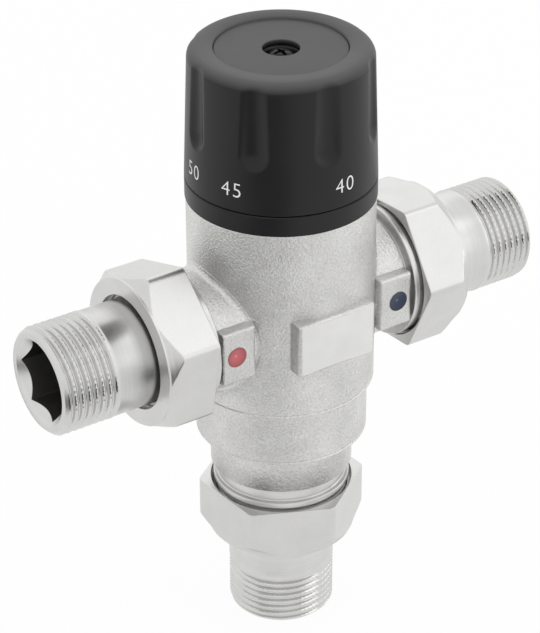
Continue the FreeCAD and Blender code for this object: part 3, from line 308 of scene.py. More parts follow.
BARREL = Place((1, 0, 0), (0, 1, 0), (0, 0, 1), (0, 0, AXIS_HEIGHT))
PORTS = {
    "hot": Place((0, 0, 1), (0, 1, 0), (-1, 0, 0), (-INLET_FACE, 0, AXIS_HEIGHT)),
    "cold": Place((0, 0, -1), (0, 1, 0), (1, 0, 0), (INLET_FACE, 0, AXIS_HEIGHT)),
    "outlet": Place((-1, 0, 0), (0, 1, 0), (0, 0, -1), (0, 0, AXIS_HEIGHT - OUTLET_FACE)),
}


# --- shapes -----------------------------------------------------------------------------------

# The most that one rounded corner takes of a side, and where the row beside it stands: this many
# reaches from the corner, but no further than this share of the side.
LONGEST_TRIM, FLANK, LONGEST_FLANK = 0.45, 1.6, 0.49
ARC_ROWS = 5
CORNER_ROWS = ARC_ROWS + 2
# A thread's two kinds of flank, each as where it starts and how wide it is, in shares of half a
# pitch, how much of it is the soft kind, and over which share of a pitch it runs out.
SOFT_FLANK, STRAIGHT_FLANK, SOFT_SHARE, RUN_OUT = (0.06, 0.88), (0.1, 0.8), 0.35, 0.4


def smooth_min(first, second, blend):
    """The smaller of two lengths, with a parabola of width blend where they cross."""
    mix = np.clip(0.5 + 0.5 * (second - first) / blend, 0.0, 1.0)
    return second + (first - second) * mix - blend * mix * (1.0 - mix)


def smooth_step(value):
    """Cubic ramp from 0 to 1."""
    value = np.clip(value, 0.0, 1.0)
    return value * value * (3.0 - 2.0 * value)


def soft_path(corners, columns, closed=False, steps=ARC_ROWS):
    """Rows of (radius, height) along a path through corners: (radius, height) or with a reach.

    Radius and height may differ from column to column.  A corner with a reach is a conic from the
    point at reach before it to the point at reach after it, weighted by the cosine of half the
    turn, which is a circle's arc.  One more row stands on each side of it, so that the straight
    stretches shade flat.
    """
    points = np.array([np.stack([np.broadcast_to(value, columns) for value in corner[:2]], -1)
                       for corner in corners], dtype=float)
    count = len(corners)
    ramp = np.linspace(0.0, 1.0, steps)[:, None, None]
    rows = []
    for index, corner in enumerate(corners):
        here = points[index]
        if len(corner) == 2 or (not closed and index in (0, count - 1)):
            rows.append(here[None])
            continue
        back = points[index - 1] - here
        ahead = points[(index + 1) % count] - here
        back_length = np.linalg.norm(back, axis=-1, keepdims=True) + 1e-12
        ahead_length = np.linalg.norm(ahead, axis=-1, keepdims=True) + 1e-12
        back, ahead = back / back_length, ahead / ahead_length
        trim = np.minimum(corner[2], LONGEST_TRIM * np.minimum(back_length, ahead_length))
        start, end = here + back * trim, here + ahead * trim
        weight = np.sqrt(np.clip(0.5 - 0.5 * (back * ahead).sum(-1, keepdims=True), 0.0, 1.0))
        bend = (1 - ramp) ** 2 * start + 2 * ramp * (1 - ramp) * weight * here + ramp ** 2 * end
        bend = bend / ((1 - ramp) ** 2 + 2 * ramp * (1 - ramp) * weight + ramp ** 2)
        rows.append((here + back * np.minimum(FLANK * trim, LONGEST_FLANK * back_length))[None])
        rows.append(bend)
        rows.append((here + ahead * np.minimum(FLANK * trim, LONGEST_FLANK * ahead_length))[None])
    return np.concatenate(rows)


def turned(path, angles):
    """A path carried round an axis: radius times cosine and sine of the angle, and height."""
    radius, height = path[..., 0], path[..., 1]
    return np.stack([radius * np.cos(angles), radius * np.sin(angles), height], axis=-1)


def spun(points, turn):
    """Points turned about their own Z."""
    across, front = points[..., 0], points[..., 1]
    return np.stack([across * math.cos(turn) - front * math.sin(turn),
                     across * math.sin(turn) + front * math.cos(turn), points[..., 2]], axis=-1)


def hexagon_radius(angles, flats, corner):
    """Distance from the axis to a hexagon with rounded corners, one corner on angle zero.

    Off the corners it is the apothem over the cosine of the angle to the flat's middle.  Round a
    corner it is the far crossing of the ray with the rounding's circle.  They change over where
    that circle touches the flat.
    """
    sixth = TURN / 6.0
    off = (angles + sixth / 2.0) % sixth - sixth / 2.0
    centre = (flats / 2.0 - corner) / math.cos(sixth / 2.0)
    flat = flats / 2.0 / np.cos(sixth / 2.0 - np.abs(off))
    under_root = np.maximum(corner ** 2 - (centre * np.sin(off)) ** 2, 0.0)
    arc = centre * np.cos(off) + np.sqrt(under_root)
    tangent = math.atan2(corner * 0.5, centre + corner * math.cos(sixth / 2.0))
    return np.where(np.abs(off) < tangent, arc, flat)


def thread_cut(heights, angles, pitch, depth, start, end):
    """Depth of a right-hand thread: a triangle wave of height over pitch less the turn.

    A soft and a straight flank are mixed.  It fades in over one pitch from start, and out over a
    share of a pitch before end.
    """
    wave = np.abs(2.0 * ((heights / pitch - angles / TURN) % 1.0) - 1.0)
    soft = smooth_step((wave - SOFT_FLANK[0]) / SOFT_FLANK[1])
    straight = np.clip((wave - STRAIGHT_FLANK[0]) / STRAIGHT_FLANK[1], 0.0, 1.0)
    fade_in = smooth_step((heights - start) / pitch)
    fade_out = smooth_step((end - heights) / (RUN_OUT * pitch))
    return depth * (soft * SOFT_SHARE + straight * (1.0 - SOFT_SHARE)) * (fade_in * fade_out)


def threaded_rows(start, end, radius, pitch, depth, angles, rows_per_pitch):
    """Rows of a thread between two heights."""
    count = int(abs(end - start) / pitch * rows_per_pitch)
    heights = np.linspace(start, end, count)[:, None]
    radii = radius - thread_cut(heights, angles[None, :], pitch, depth, start, end)
    return np.stack([radii, np.broadcast_to(heights, radii.shape)], axis=-1)


# --- meshes -----------------------------------------------------------------------------------


def quads(rows, columns, wrap_rows, first):
    """Corner numbers of a grid's faces; columns always close round."""
    row = np.arange(rows if wrap_rows else rows - 1)[:, None]
    column = np.arange(columns)[None, :]
    below, beside = (row + 1) % rows, (column + 1) % columns
    corners = [row * columns + column, row * columns + beside, below * columns + beside,
               below * columns + column]
    return np.stack(corners, axis=-1).reshape(-1, 4) + first


class Shell:
    """Grids of points that become one mesh."""

    def __init__(self, kind):
        self.points, self.faces, self.finishes = [], [], []
        self.count = 0
        self.divide(kind)

    def divide(self, kind):
        """Give the grids that follow the columns of this kind of piece."""
        self.columns = COLUMNS[kind]
        self.angles = np.arange(self.columns) * (TURN / self.columns)

    def add(self, grid, wrap_rows=True, finish=0):
        """Add a grid of (rows, columns, 3) points; finish is one number or one for each row."""
        rows, columns = grid.shape[:2]
        row_finish = np.broadcast_to(finish, rows)[: rows if wrap_rows else rows - 1]
        self.points.append(grid.reshape(-1, 3))
        self.faces.append(quads(rows, columns, wrap_rows, self.count))
        self.finishes.append(np.repeat(row_finish, columns))
        self.count += rows * columns

    def build(self, name, body, finishes, replaces=()):
        """Make the object from the grids and hang it on its body."""
        mesh = bpy.data.meshes.new(name)
        mesh.from_pydata(np.concatenate(self.points), [], np.concatenate(self.faces).tolist())
        mesh.polygons.foreach_set("material_index", np.concatenate(self.finishes).astype(np.int32))
        for finish in finishes:
            mesh.materials.append(finish)
        return finished_object(name, mesh, body, replaces)


def linked(name, data):
    """A new object in the scene, at the origin."""
    made = bpy.data.objects.new(name, data)
    bpy.context.scene.collection.objects.link(made)
    return made


def finished_object(name, mesh, body, replaces=()):
    """Merge, turn outwards and smooth a mesh, and hang it on its body."""
    work = bmesh.new()
    work.from_mesh(mesh)
    bmesh.ops.remove_doubles(work, verts=work.verts, dist=0.0005 * MM)
    bmesh.ops.recalc_face_normals(work, faces=work.faces)
    for face in work.faces:
        face.smooth = True
    work.to_mesh(mesh)
    work.free()
    piece = linked(name, mesh)
    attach(piece, body)
    if replaces:
        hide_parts(*replaces)
    return piece


# --- shader maths -----------------------------------------------------------------------------


class Socket:
    """A node's output, with the arithmetic that the finishes are written in."""

    def __init__(self, graph, output):
        self.graph = graph
        self.output = output

    def math(self, operation, *others):
        """One Math node of this value and others."""
        inputs = dict(enumerate((self, *others)))
        return self.graph.node("ShaderNodeMath", {"operation": operation}, inputs)

    def __add__(self, other):
        return self.math("ADD", other)

    def __sub__(self, other):
        return self.math("SUBTRACT", other)

    def __rsub__(self, other):
        return self.math("MULTIPLY", -1.0).math("ADD", other)

    def __mul__(self, other):
        return self.math("MULTIPLY", other)

    __radd__ = __add__
    __rmul__ = __mul__


class Graph:
    """A node tree under construction."""

    def __init__(self, tree):
        self.tree = tree

    def node(self, kind, settings, inputs, output=0):
        """Add a node: its settings first, then the values or links of its sockets."""
        made = self.tree.nodes.new(kind)
        for key, value in settings.items():
            if key == "stops":
                self.set_stops(made.color_ramp, value)
            else:
                setattr(made, key, value)
        self.fill(made, inputs)
        return Socket(self, made.outputs[output])

    def set_stops(self, ramp, stops):
        """Give a colour ramp its stops."""
        while len(ramp.elements) < len(stops):
            ramp.elements.new(1.0)
        for element, (position, value) in zip(ramp.elements, stops):
            element.position = position
            element.color = grey(value)

    def fill(self, node, inputs):
        """Set or link a node's sockets."""
        for key, value in inputs.items():
            if isinstance(value, Socket):
                self.tree.links.new(value.output, node.inputs[key])
            else:
                node.inputs[key].default_value = value

    def camera_rays(self):
        """1 for rays from the camera, in mirrors and through glass."""
        camera, mirror, glass = (self.node("ShaderNodeLightPath", {}, {}, f"Is {kind} Ray")
                                 for kind in ("Camera", "Glossy", "Transmission"))
        return camera.math("MAXIMUM", mirror).math("MAXIMUM", glass)


class Finish(Graph):
    """A material under construction."""

    def __init__(self, name):
        self.material = bpy.data.materials.new(name)
        self.material.use_nodes = True
        super().__init__(self.material.node_tree)
        self.shader = self.tree.nodes["Principled BSDF"]

    def position(self):
        """Where the surface point is on its piece."""
        return self.node("ShaderNodeTexCoord", {}, {}, "Object")

    def noise(self, vector, scale, detail=2.0, roughness=0.5):
        """Cloudy noise from 0 to 1."""
        return self.node("ShaderNodeTexNoise", {}, {"Vector": vector, "Scale": scale,
                                                    "Detail": detail, "Roughness": roughness})

    def ramp(self, value, *stops):
        """A grey ramp through (position, value) stops."""
        return self.node("ShaderNodeValToRGB", {"stops": stops}, {"Fac": value})

    def patches(self, fine, coarse, share=0.5):
        """Uneven patches from 0 to 1, by a fine noise's share and the rest of a coarse one."""
        return self.ramp(fine * share + coarse * (1.0 - share), (0.3, 0.0), (0.7, 1.0))

    def mix(self, mask, first, second):
        """Mix two colours by a mask."""
        inputs = {0: mask, 6: first, 7: second}
        return self.node("ShaderNodeMix", {"data_type": "RGBA"}, inputs, 2)

    def shades(self, mask, values, first, second):
        """A colour times one factor where the mask is 0 and times another where it is 1."""
        return self.mix(mask, tinted(values, first), tinted(values, second))

    def along_and_out(self, place):
        """Height along a place's axis and distance from it, as a vector (height, distance, 0)."""
        shifted = self.node("ShaderNodeVectorMath", {"operation": "SUBTRACT"},
                            {0: self.position(), 1: tuple(place.origin)})
        across, front, along = (
            self.node("ShaderNodeVectorMath", {"operation": "DOT_PRODUCT"},
                      {0: shifted, 1: tuple(axis)}, "Value") for axis in place.axes)
        distance = (across * across + front * front).math("SQRT")
        return self.node("ShaderNodeCombineXYZ", {}, {"X": along, "Y": distance})

    def bump(self, height, distance, strength):
        """A bump from a height, in metres."""
        return self.node("ShaderNodeBump", {}, {"Height": height, "Distance": distance,
                                                "Strength": strength})

    def principled(self, **inputs):
        """Set the shader's sockets; an underscore stands for a space."""
        self.fill(self.shader, {key.replace("_", " "): value for key, value in inputs.items()})
        return self.material


def grey(value):
    """An opaque grey."""
    return (value, value, value, 1.0)


def tinted(values, scale=1.0):
    """A colour property as a socket's value, made lighter or darker."""
    return (*(min(1.0, channel * scale) for channel in values), 1.0)


# --- finishes ---------------------------------------------------------------------------------

# Height over which the knob turns from satin to matt with a painted sheen, below its top.
MATT_SHEEN_BAND = 2.4 * MM


def cast_nickel(colours):
    """Nickel over a blasted forging: fine pits, faint mottling, softly rough."""
    finish = Finish("cast_nickel")
    spot = finish.position()
    grain, cloud = finish.noise(spot, 1900.0, 2.0, 0.6), finish.noise(spot, 90.0, 3.0)
    base = finish.shades(finish.patches(grain, cloud, 0.6), colours.casting, 0.74, 1.16)
    return finish.principled(Base_Color=base, Metallic=1.0, Roughness=cloud * 0.10 + 0.34,
                             Normal=finish.bump(grain, 0.25 * MM, 0.9))


def turned_nickel(colours, place, name, roughness=0.25, scale=1.0):
    """Nickel over turned brass: hair-fine rings along the axis and across the faces."""
    finish = Finish(name)
    rings = finish.along_and_out(place)
    fine, broad = finish.noise(rings, 9000.0), finish.noise(rings, 1500.0)
    cloud = finish.noise(finish.position(), 160.0, 3.0)
    base = finish.shades(finish.patches(broad, cloud), colours.plating, 0.90 * scale, 1.08 * scale)
    return finish.principled(Base_Color=base, Metallic=1.0, Roughness=cloud * 0.12 + roughness,
                             Normal=finish.bump(fine + broad * 0.5, 0.004 * MM, 0.5))


def milled_nickel(colours, name="milled_nickel", scale=1.0):
    """Nickel over milled brass: a fine even grain, satin rather than bright."""
    finish = Finish(name)
    spot = finish.position()
    grain, cloud = finish.noise(spot, 3200.0, 3.0, 0.6), finish.noise(spot, 140.0, 3.0)
    base = finish.shades(finish.patches(grain, cloud), colours.plating, 0.92 * scale, 1.06 * scale)
    return finish.principled(Base_Color=base, Metallic=1.0, Roughness=cloud * 0.08 + 0.26,
                             Normal=finish.bump(grain, 0.012 * MM, 0.6))


def moulded_black(colours):
    """Black plastic from a fine-grained mould, matt with painted sheen over the band below its
    top.
    """
    finish = Finish("moulded_black")
    spot = finish.position()
    grain, cloud = finish.noise(spot, 5200.0), finish.noise(spot, 120.0, 3.0)
    height = finish.node("ShaderNodeSeparateXYZ", {}, {"Vector": spot}, 2)
    top = finish.ramp((height - (AXIS_HEIGHT + KNOB_TOP - MATT_SHEEN_BAND)) * (1.0 / MATT_SHEEN_BAND),
                      (0.1, 0.0), (0.9, 1.0))
    skirt = finish.shades(cloud, colours.plastic, 0.85, 1.2)
    # Over the top band the colour turns to a lighter grey: painted sheen.
    base = finish.mix(top, skirt, tinted(colours.plastic_top_sheen))
    return finish.principled(Base_Color=base, Roughness=cloud * 0.10 + 0.34 + top * 0.12,
                             Normal=finish.bump(grain, 0.012 * MM, 0.5), IOR=1.38)


def mottled(name, values, roughness, scale, metallic=0.0):
    """A plain finish with faint mottling and a fine bump."""
    finish = Finish(name)
    cloud = finish.noise(finish.position(), scale, 3.0)
    return finish.principled(Base_Color=finish.shades(cloud, values, 0.88, 1.12),
                             Metallic=metallic, Roughness=cloud * 0.1 + roughness,
                             Normal=finish.bump(cloud, 0.01 * MM, 0.5))


def shaded_drilled_paint(name, values, middle, radius):
    """Paint in a drilled cone: painted shade towards the wall, a painted highlight over the point.
    """
    finish = Finish(name)
    spot = finish.position()
    out = finish.node("ShaderNodeVectorMath", {"operation": "DISTANCE"},
                      {0: spot, 1: tuple(float(value) for value in middle)}, "Value")
    share = out * (1.0 / radius)
    cloud = finish.noise(spot, 1500.0, 3.0)
    # Painted shade: the paint's colour darkens from the middle out to the dimple's wall.
    wall = finish.shades(finish.ramp(share, (0.45, 0.0), (1.0, 1.0)), values, 1.25, 0.75)
    # Painted highlight: a pale spot over the drill's point, with a ragged edge.
    painted_highlight = (*(min(1.0, channel * 1.3 + 0.22) for channel in values), 1.0)
    point = finish.ramp(share + (cloud - 0.5) * 0.12, (0.17, 1.0), (0.30, 0.0))
    return finish.principled(Base_Color=finish.mix(point, wall, painted_highlight),
                             Roughness=cloud * 0.1 + 0.25)


# --- the body ---------------------------------------------------------------------------------

# Places of the body's finishes on it; the plate's is a lighter copy, a painted sheen.
CAST, TURNED, GROUND_SHEEN = 0, 1, 2
# The fine score above a step's lower edge: where it starts, is deepest and ends, and its depth.
SCORE_TOP, SCORE_MIDDLE, SCORE_FOOT, SCORE_DEPTH = 0.85 * MM, 0.6 * MM, 0.35 * MM, 0.2 * MM
SEAT_GAP = 0.05 * MM
# A union thread stops this far short of its port's end, and the port's mouth is this much slimmer.
THREAD_STOP, THREAD_CHAMFER = 0.4 * MM, 0.5 * MM
BONNET_BORE = 17.9 * MM
# Radius and height in millimetres of the bores behind a port.  The outlet's run up to the bonnet,
# above the inlets' axis; an inlet's run inwards, from the barrel's axis.
OUTLET_BORES = ((10.4, -31.4), (7.4, -29.2), (7.4, -27.0), (10.8, -27.0), (10.8, -12.6),
                (13.3, -12.6), (13.3, -15.6), (17.0, -15.6), (17.0, -4.0), (13.05, -4.0),
                (13.05, 4.0), (17.0, 4.0), (17.0, 12.0), (17.9, 12.0))
INLET_BORES = ((11.0, 21.5), (8.5, 21.5), (8.5, 18.3))
# Rows of a neck's fillet, and how far in its hidden root stands.
FILLET_ROWS, FILLET_ROOT = 9, 0.93
BOSS_BACK, PLATE_BACK, PAD_EDGE, PAD_POWER = 6.0 * MM, 16.0 * MM, 0.8 * MM, 36.0
# The paint's gap to its dimple's rim and its thickness; its surface bends at this share of the
# mark's radius, and is this share of the mark's depth down there and in the middle.
PAINT_GAP, PAINT_SKIN = 0.12 * MM, 0.05 * MM
POOL_BEND, POOL_BEND_DEPTH, POOL_DEPTH = 0.3, 0.55, 0.62


def scored_edge(radius, height):
    """Corners of a step's lower edge, with the trimming tool's fine score just above it."""
    return [(radius, height + SCORE_TOP, 0.1 * MM), (radius - SCORE_DEPTH, height + SCORE_MIDDLE),
            (radius, height + SCORE_FOOT, 0.1 * MM), (radius, height, 0.25 * MM)]


def bored(body, end, bores, shift=0.0):
    """Corners of a port's inside: its mouth at the thread's end, then its bores inwards."""
    first = bores[0][0] * MM
    return [(body.thread_radius - THREAD_CHAMFER, end), (first, end, 0.3 * MM),
            *((radius * MM, height * MM - shift) for radius, height in bores)]


def barrel_grids(body, shell):
    """The barrel from its rim to the outlet's thread and back up inside, as one closed turning."""
    outlet_collar = -(OUTLET_FACE - body.collar_gap)
    outlet_end = -(OUTLET_FACE + BODY_END)
    columns, angles = shell.columns, shell.angles
    top = RING_FOOT - SEAT_GAP
    outside = soft_path([
        (BONNET_BORE, top), (body.barrel_radius, top, 0.3 * MM),
        *scored_edge(body.barrel_radius, -body.barrel_drop),
        (body.waist_radius, -body.barrel_drop, 0.4 * MM),
        *scored_edge(body.waist_radius, -body.waist_drop),
        (body.foot_radius, -body.waist_drop, 0.5 * MM), (body.foot_radius, -body.foot_drop)],
        columns)
    neck = soft_path([
        (body.foot_radius, -body.foot_drop),
        (body.outlet_relief, -body.foot_drop - 0.5 * MM, 0.4 * MM),
        (body.outlet_relief, outlet_collar + body.collar_width, 0.35 * MM),
        (body.collar_radius, outlet_collar + body.collar_width, 0.2 * MM),
        (body.collar_radius, outlet_collar, 0.2 * MM), (body.thread_radius, outlet_collar)],
        columns)
    thread = threaded_rows(-outlet_collar, -outlet_end - THREAD_STOP, body.thread_radius,
                           body.thread_pitch, body.thread_depth, angles, UNION_ROWS)
    thread[..., 1] *= -1.0
    inside = soft_path(bored(body, outlet_end, OUTLET_BORES), columns)
    path = np.concatenate([outside, neck[1:], thread[1:], inside])
    finish = np.full(len(path), TURNED)
    finish[: len(outside)] = CAST
    shell.add(BARREL.of(turned(path, angles)), finish=finish)


def neck_grids(body, place, shell):
    """An inlet's neck, from a rolling-ball fillet on the barrel to the thread and back inside.

    The ball's centre keeps the fillet's radius from the neck's cylinder and from the barrel's, so
    it stands at the root of (barrel + ball) squared less its offset across squared.  The fillet's
    arc runs from where the ball touches the barrel to where it touches the neck.
    """
    angles, columns = shell.angles, shell.columns
    ball, ball_ring = body.neck_fillet, body.neck_radius + body.neck_fillet
    across, front = np.cos(angles), np.sin(angles)
    far = body.barrel_radius + ball
    reach = np.sqrt(far ** 2 - (ball_ring * front) ** 2)
    centre = np.stack([ball_ring * across, ball_ring * front, reach], axis=-1)
    on_barrel = centre * np.array([1.0, body.barrel_radius / far, body.barrel_radius / far])
    on_neck = np.stack([body.neck_radius * across, body.neck_radius * front, reach], axis=-1)
    first, last = (on_barrel - centre) / ball, (on_neck - centre) / ball
    span = np.arccos(np.clip((first * last).sum(-1), -1.0, 1.0))[None, :, None]
    step = np.linspace(0.0, 1.0, FILLET_ROWS)[:, None, None]
    fan = (np.sin((1 - step) * span) * first + np.sin(step * span) * last) / np.sin(span)
    root = on_barrel * np.array([1.0, FILLET_ROOT, FILLET_ROOT])
    fillet = np.concatenate([root[None], centre + ball * fan])
    fillet[..., 2] -= INLET_FACE
    neck_end = body.neck_end - INLET_FACE
    collar = -body.collar_gap
    outside = soft_path([
        (body.neck_radius, reach - INLET_FACE + 0.1 * MM),
        (body.neck_radius, neck_end, 0.45 * MM), (body.inlet_relief, neck_end, 0.2 * MM),
        (body.inlet_relief, collar - body.collar_width, 0.2 * MM),
        (body.collar_radius, collar - body.collar_width, 0.25 * MM),
        (body.collar_radius, collar, 0.25 * MM), (body.thread_radius, collar)], columns)
    thread = threaded_rows(collar, BODY_END - THREAD_STOP, body.thread_radius,
                           body.thread_pitch, body.thread_depth, angles, UNION_ROWS)
    inside = soft_path(bored(body, BODY_END, INLET_BORES, INLET_FACE), columns)
    path = np.concatenate([outside, thread[1:], inside])
    grid = np.concatenate([fillet, turned(path, angles)])
    finish = np.full(len(grid), TURNED)
    finish[: len(fillet) + CORNER_ROWS] = CAST
    shell.add(place.of(grid), finish=finish)


def pad_grid(shell, middle, height, half_width, half_height, face, back, dimple=None,
             finish=CAST):
    """A rounded rectangular pad on the front, carried round its own middle.

    Its outline is the superellipse whose high power makes its corners nearly square.  A dimple
    is (radius, depth, shift) of a cone drilled in the face, shifted sideways from its middle.
    """
    angles = shell.angles
    radius, depth, shift = dimple or (0.0, 0.0, 0.0)
    outline = (np.abs(np.cos(angles) / half_width) ** PAD_POWER
               + np.abs(np.sin(angles) / half_height) ** PAD_POWER) ** (-1.0 / PAD_POWER)
    corners = [(0.0, back), (outline, back), (outline, face, PAD_EDGE), (0.0, face - depth)]
    if dimple:
        corners.insert(-1, (radius, face, 0.12 * MM))
    path = soft_path(corners, shell.columns)
    inner = 1.0 - smooth_step((path[..., 0] - 1.1 * radius) / MM)
    grid = turned(path, angles)
    grid[..., 0] += shift * inner
    rows = np.where(np.arange(len(path)) < len(path) - (1 if dimple else 3), CAST, finish)
    shell.add(on_front(middle, height).of(grid), wrap_rows=False, finish=rows)


class MIXING_VALVE_OT_body(bpy.types.Operator):
    """Build the forged body with its bosses, plate, threads and painted marks"""

    bl_idname = "mixing_valve.body"
    bl_label = "Body"

    def execute(self, context):
        body, colours = context.scene.valve_body_sizes, context.scene.valve_colours
        casting = cast_nickel(colours)
        machined = turned_nickel(colours, BARREL, "turned_nickel_barrel")
        shell = Shell("barrel")
        barrel_grids(body, shell)
        shell.divide("neck")
        for inlet in ("hot", "cold"):
            neck_grids(body, PORTS[inlet], shell)
        shell.divide("pad")
        middle = (body.boss_inner + body.neck_end) / 2.0
        half = (body.neck_end - body.boss_inner) / 2.0
        for sign in (-1.0, 1.0):
            pad_grid(shell, sign * middle, 0.0, half, body.boss_half, body.boss_face, BOSS_BACK,
                     (body.mark_radius, body.mark_depth, sign * body.mark_shift))
        pad_grid(shell, 0.0, (body.plate_top - body.plate_low) / 2.0, body.plate_half,
                 (body.plate_top + body.plate_low) / 2.0, PLATE_FACE, PLATE_BACK, finish=GROUND_SHEEN)
        # The plate's face: a real ground finish, made lighter than the milled nickel as a painted
        # sheen.
        ground = milled_nickel(colours, "ground_nickel_sheen", 1.18)
        shell.build("forged_body", "valve", [casting, machined, ground], ["valve_body"])
        for name, sign, paint in (("hot_mark", -1.0, colours.hot_paint),
                                  ("cold_mark", 1.0, colours.cold_paint)):
            self.mark(body, name, sign * (middle + body.mark_shift), paint)
        return {"FINISHED"}

    def mark(self, body, name, middle, paint):
        """A thin skin of paint in the drilled cone."""
        shell = Shell("mark")
        rim = body.mark_radius - PAINT_GAP
        sink = body.mark_depth * (1.0 - rim / body.mark_radius)
        face = body.boss_face - sink
        path = soft_path([
            (0.0, face - body.mark_depth + sink), (rim, face), (rim, face + PAINT_SKIN, 0.02 * MM),
            (POOL_BEND * body.mark_radius, face - POOL_BEND_DEPTH * body.mark_depth + PAINT_SKIN,
             0.3 * MM),
            (0.0, face - POOL_DEPTH * body.mark_depth + PAINT_SKIN)], shell.columns)
        shell.add(on_front(middle).of(turned(path, shell.angles)), wrap_rows=False)
        finish = shaded_drilled_paint(name + "_paint", paint, (middle, -face, AXIS_HEIGHT), rim)
        shell.build(name, "valve", [finish])


# --- unions -----------------------------------------------------------------------------------

# The bore round the union thread, where it starts, and where the nut's mouth ends.
NUT_THREAD, NUT_THREAD_FOOT, NUT_MOUTH_END = 16.68 * MM, 1.5 * MM, 0.6 * MM
# How the 45-degree turning blends into the hexagon, and how far down it is worked out.
NUT_BLEND, NUT_CONE = 0.16 * MM, 6.0 * MM
# Its rows: one FIRST_ROW under the band's foot, and close ones from CLOSE_FROM under it to
# CLOSE_TO past the rim's foot.
FIRST_ROW, CLOSE_FROM, CLOSE_TO, CLOSE_STEP = 4.0 * MM, 2.2 * MM, 0.2 * MM, 0.08 * MM
FLANGE_WIDTH, SOCKET_ROUND = 2.6 * MM, 0.35 * MM
# The plain tube stops short of the pipe thread, and the thread of the tube's end.
PIPE_RELIEF, PIPE_STOP, PIPE_END_BLEND = 0.3 * MM, 0.15 * MM, 0.12 * MM
# Places of a tailpiece's finishes on it; the bore's is dark with painted shade.
TURNED_TAIL, DULL_AND_SHADED_BORE, CUT_THREAD = 0, 1, 2
# Rows at each end of the thread that keep the turned finish, and rows of the tube's end face.
THREAD_BORDER, END_ROWS = 6, 11


def nut_grid(sizes, angles):
    """A union nut as one closed turning whose outside is the smaller of hexagon and turning."""
    hexagon = hexagon_radius(angles, sizes.flats, sizes.corner)
    rim_foot = NUT_LENGTH - sizes.rim_width
    band_foot = rim_foot - sizes.band_width
    stations = [0.0, band_foot - NUT_CONE, band_foot, rim_foot, NUT_LENGTH]
    radii = [sizes.band + band_foot, sizes.band + NUT_CONE, sizes.band, sizes.rim, sizes.rim]
    heights = [band_foot - FIRST_ROW,
               *np.arange(band_foot - CLOSE_FROM, rim_foot + CLOSE_TO, CLOSE_STEP)]
    outside = [(smooth_min(hexagon, np.interp(height, stations, radii), NUT_BLEND), height)
               for height in heights]
    web = NUT_LENGTH - sizes.shoulder
    path = soft_path([
        (sizes.mouth, 0.0, 0.2 * MM), (hexagon, 0.0, 0.22 * MM), *outside,
        (smooth_min(hexagon, sizes.rim, NUT_BLEND), NUT_LENGTH, 0.14 * MM),
        (sizes.bore, NUT_LENGTH, 0.25 * MM), (sizes.bore, web, 0.2 * MM), (NUT_THREAD, web),
        (NUT_THREAD, NUT_THREAD_FOOT, 0.2 * MM), (sizes.mouth, NUT_MOUTH_END, 0.2 * MM)],
        len(angles), closed=True)
    return turned(path, angles)


def tail_grid(sizes, angles):
    """A tailpiece as one closed turning: flange, plain tube, pipe thread, socket and waterway.

    The countersink is a 45-degree cone, so it meets the hexagon socket lower down on its flats.
    """
    columns = len(angles)
    flange_back = FLANGE_FACE + FLANGE_WIDTH
    thread_start = TAIL_END - sizes.pipe_thread
    outside = soft_path([
        (sizes.bore_wide, FLANGE_FACE), (TAIL_FLANGE_RADIUS, FLANGE_FACE, 0.2 * MM),
        (TAIL_FLANGE_RADIUS, flange_back, 0.2 * MM), (sizes.plain_radius, flange_back, 0.2 * MM),
        (sizes.plain_radius, thread_start - PIPE_RELIEF)], columns)
    thread = threaded_rows(thread_start, TAIL_END - PIPE_STOP, sizes.pipe_radius,
                           sizes.pipe_pitch, sizes.pipe_depth, angles, PIPE_ROWS)
    notch = (smooth_step(0.5 + 1.4 * np.cos(sizes.notches * angles))
             * smooth_step((thread[..., 1] - thread_start) / sizes.pipe_pitch))
    thread[..., 0] = np.minimum(thread[..., 0], sizes.pipe_radius - sizes.notch_depth * notch)
    cone = sizes.pipe_radius - sizes.end_chamfer + (TAIL_END - thread[..., 1])
    thread[..., 0] = smooth_min(thread[..., 0], cone, PIPE_END_BLEND)
    socket = hexagon_radius(angles, sizes.socket_flats, SOCKET_ROUND)
    socket_floor = TAIL_END - sizes.socket_depth
    wide_end = FLANGE_FACE + sizes.bore_depth
    inside = soft_path([
        (sizes.pipe_radius - sizes.end_chamfer - 0.05 * MM, TAIL_END),
        (sizes.socket_mouth, TAIL_END, 0.15 * MM),
        (socket, TAIL_END - (sizes.socket_mouth - socket), 0.12 * MM),
        (socket, socket_floor, 0.1 * MM), (sizes.bore_throat, socket_floor, 0.05 * MM),
        (sizes.bore_throat, wide_end + (sizes.bore_wide - sizes.bore_throat)),
        (sizes.bore_wide, wide_end)], columns)
    # The bore's rows past the end face get the darker finish: painted shade inside the tailpiece.
    finish = np.repeat([TURNED_TAIL, CUT_THREAD, TURNED_TAIL, DULL_AND_SHADED_BORE],
                       [len(outside) + THREAD_BORDER, len(thread) - 2 * THREAD_BORDER,
                        THREAD_BORDER + END_ROWS, len(inside) - END_ROWS])
    return turned(np.concatenate([outside, thread, inside]), angles), finish


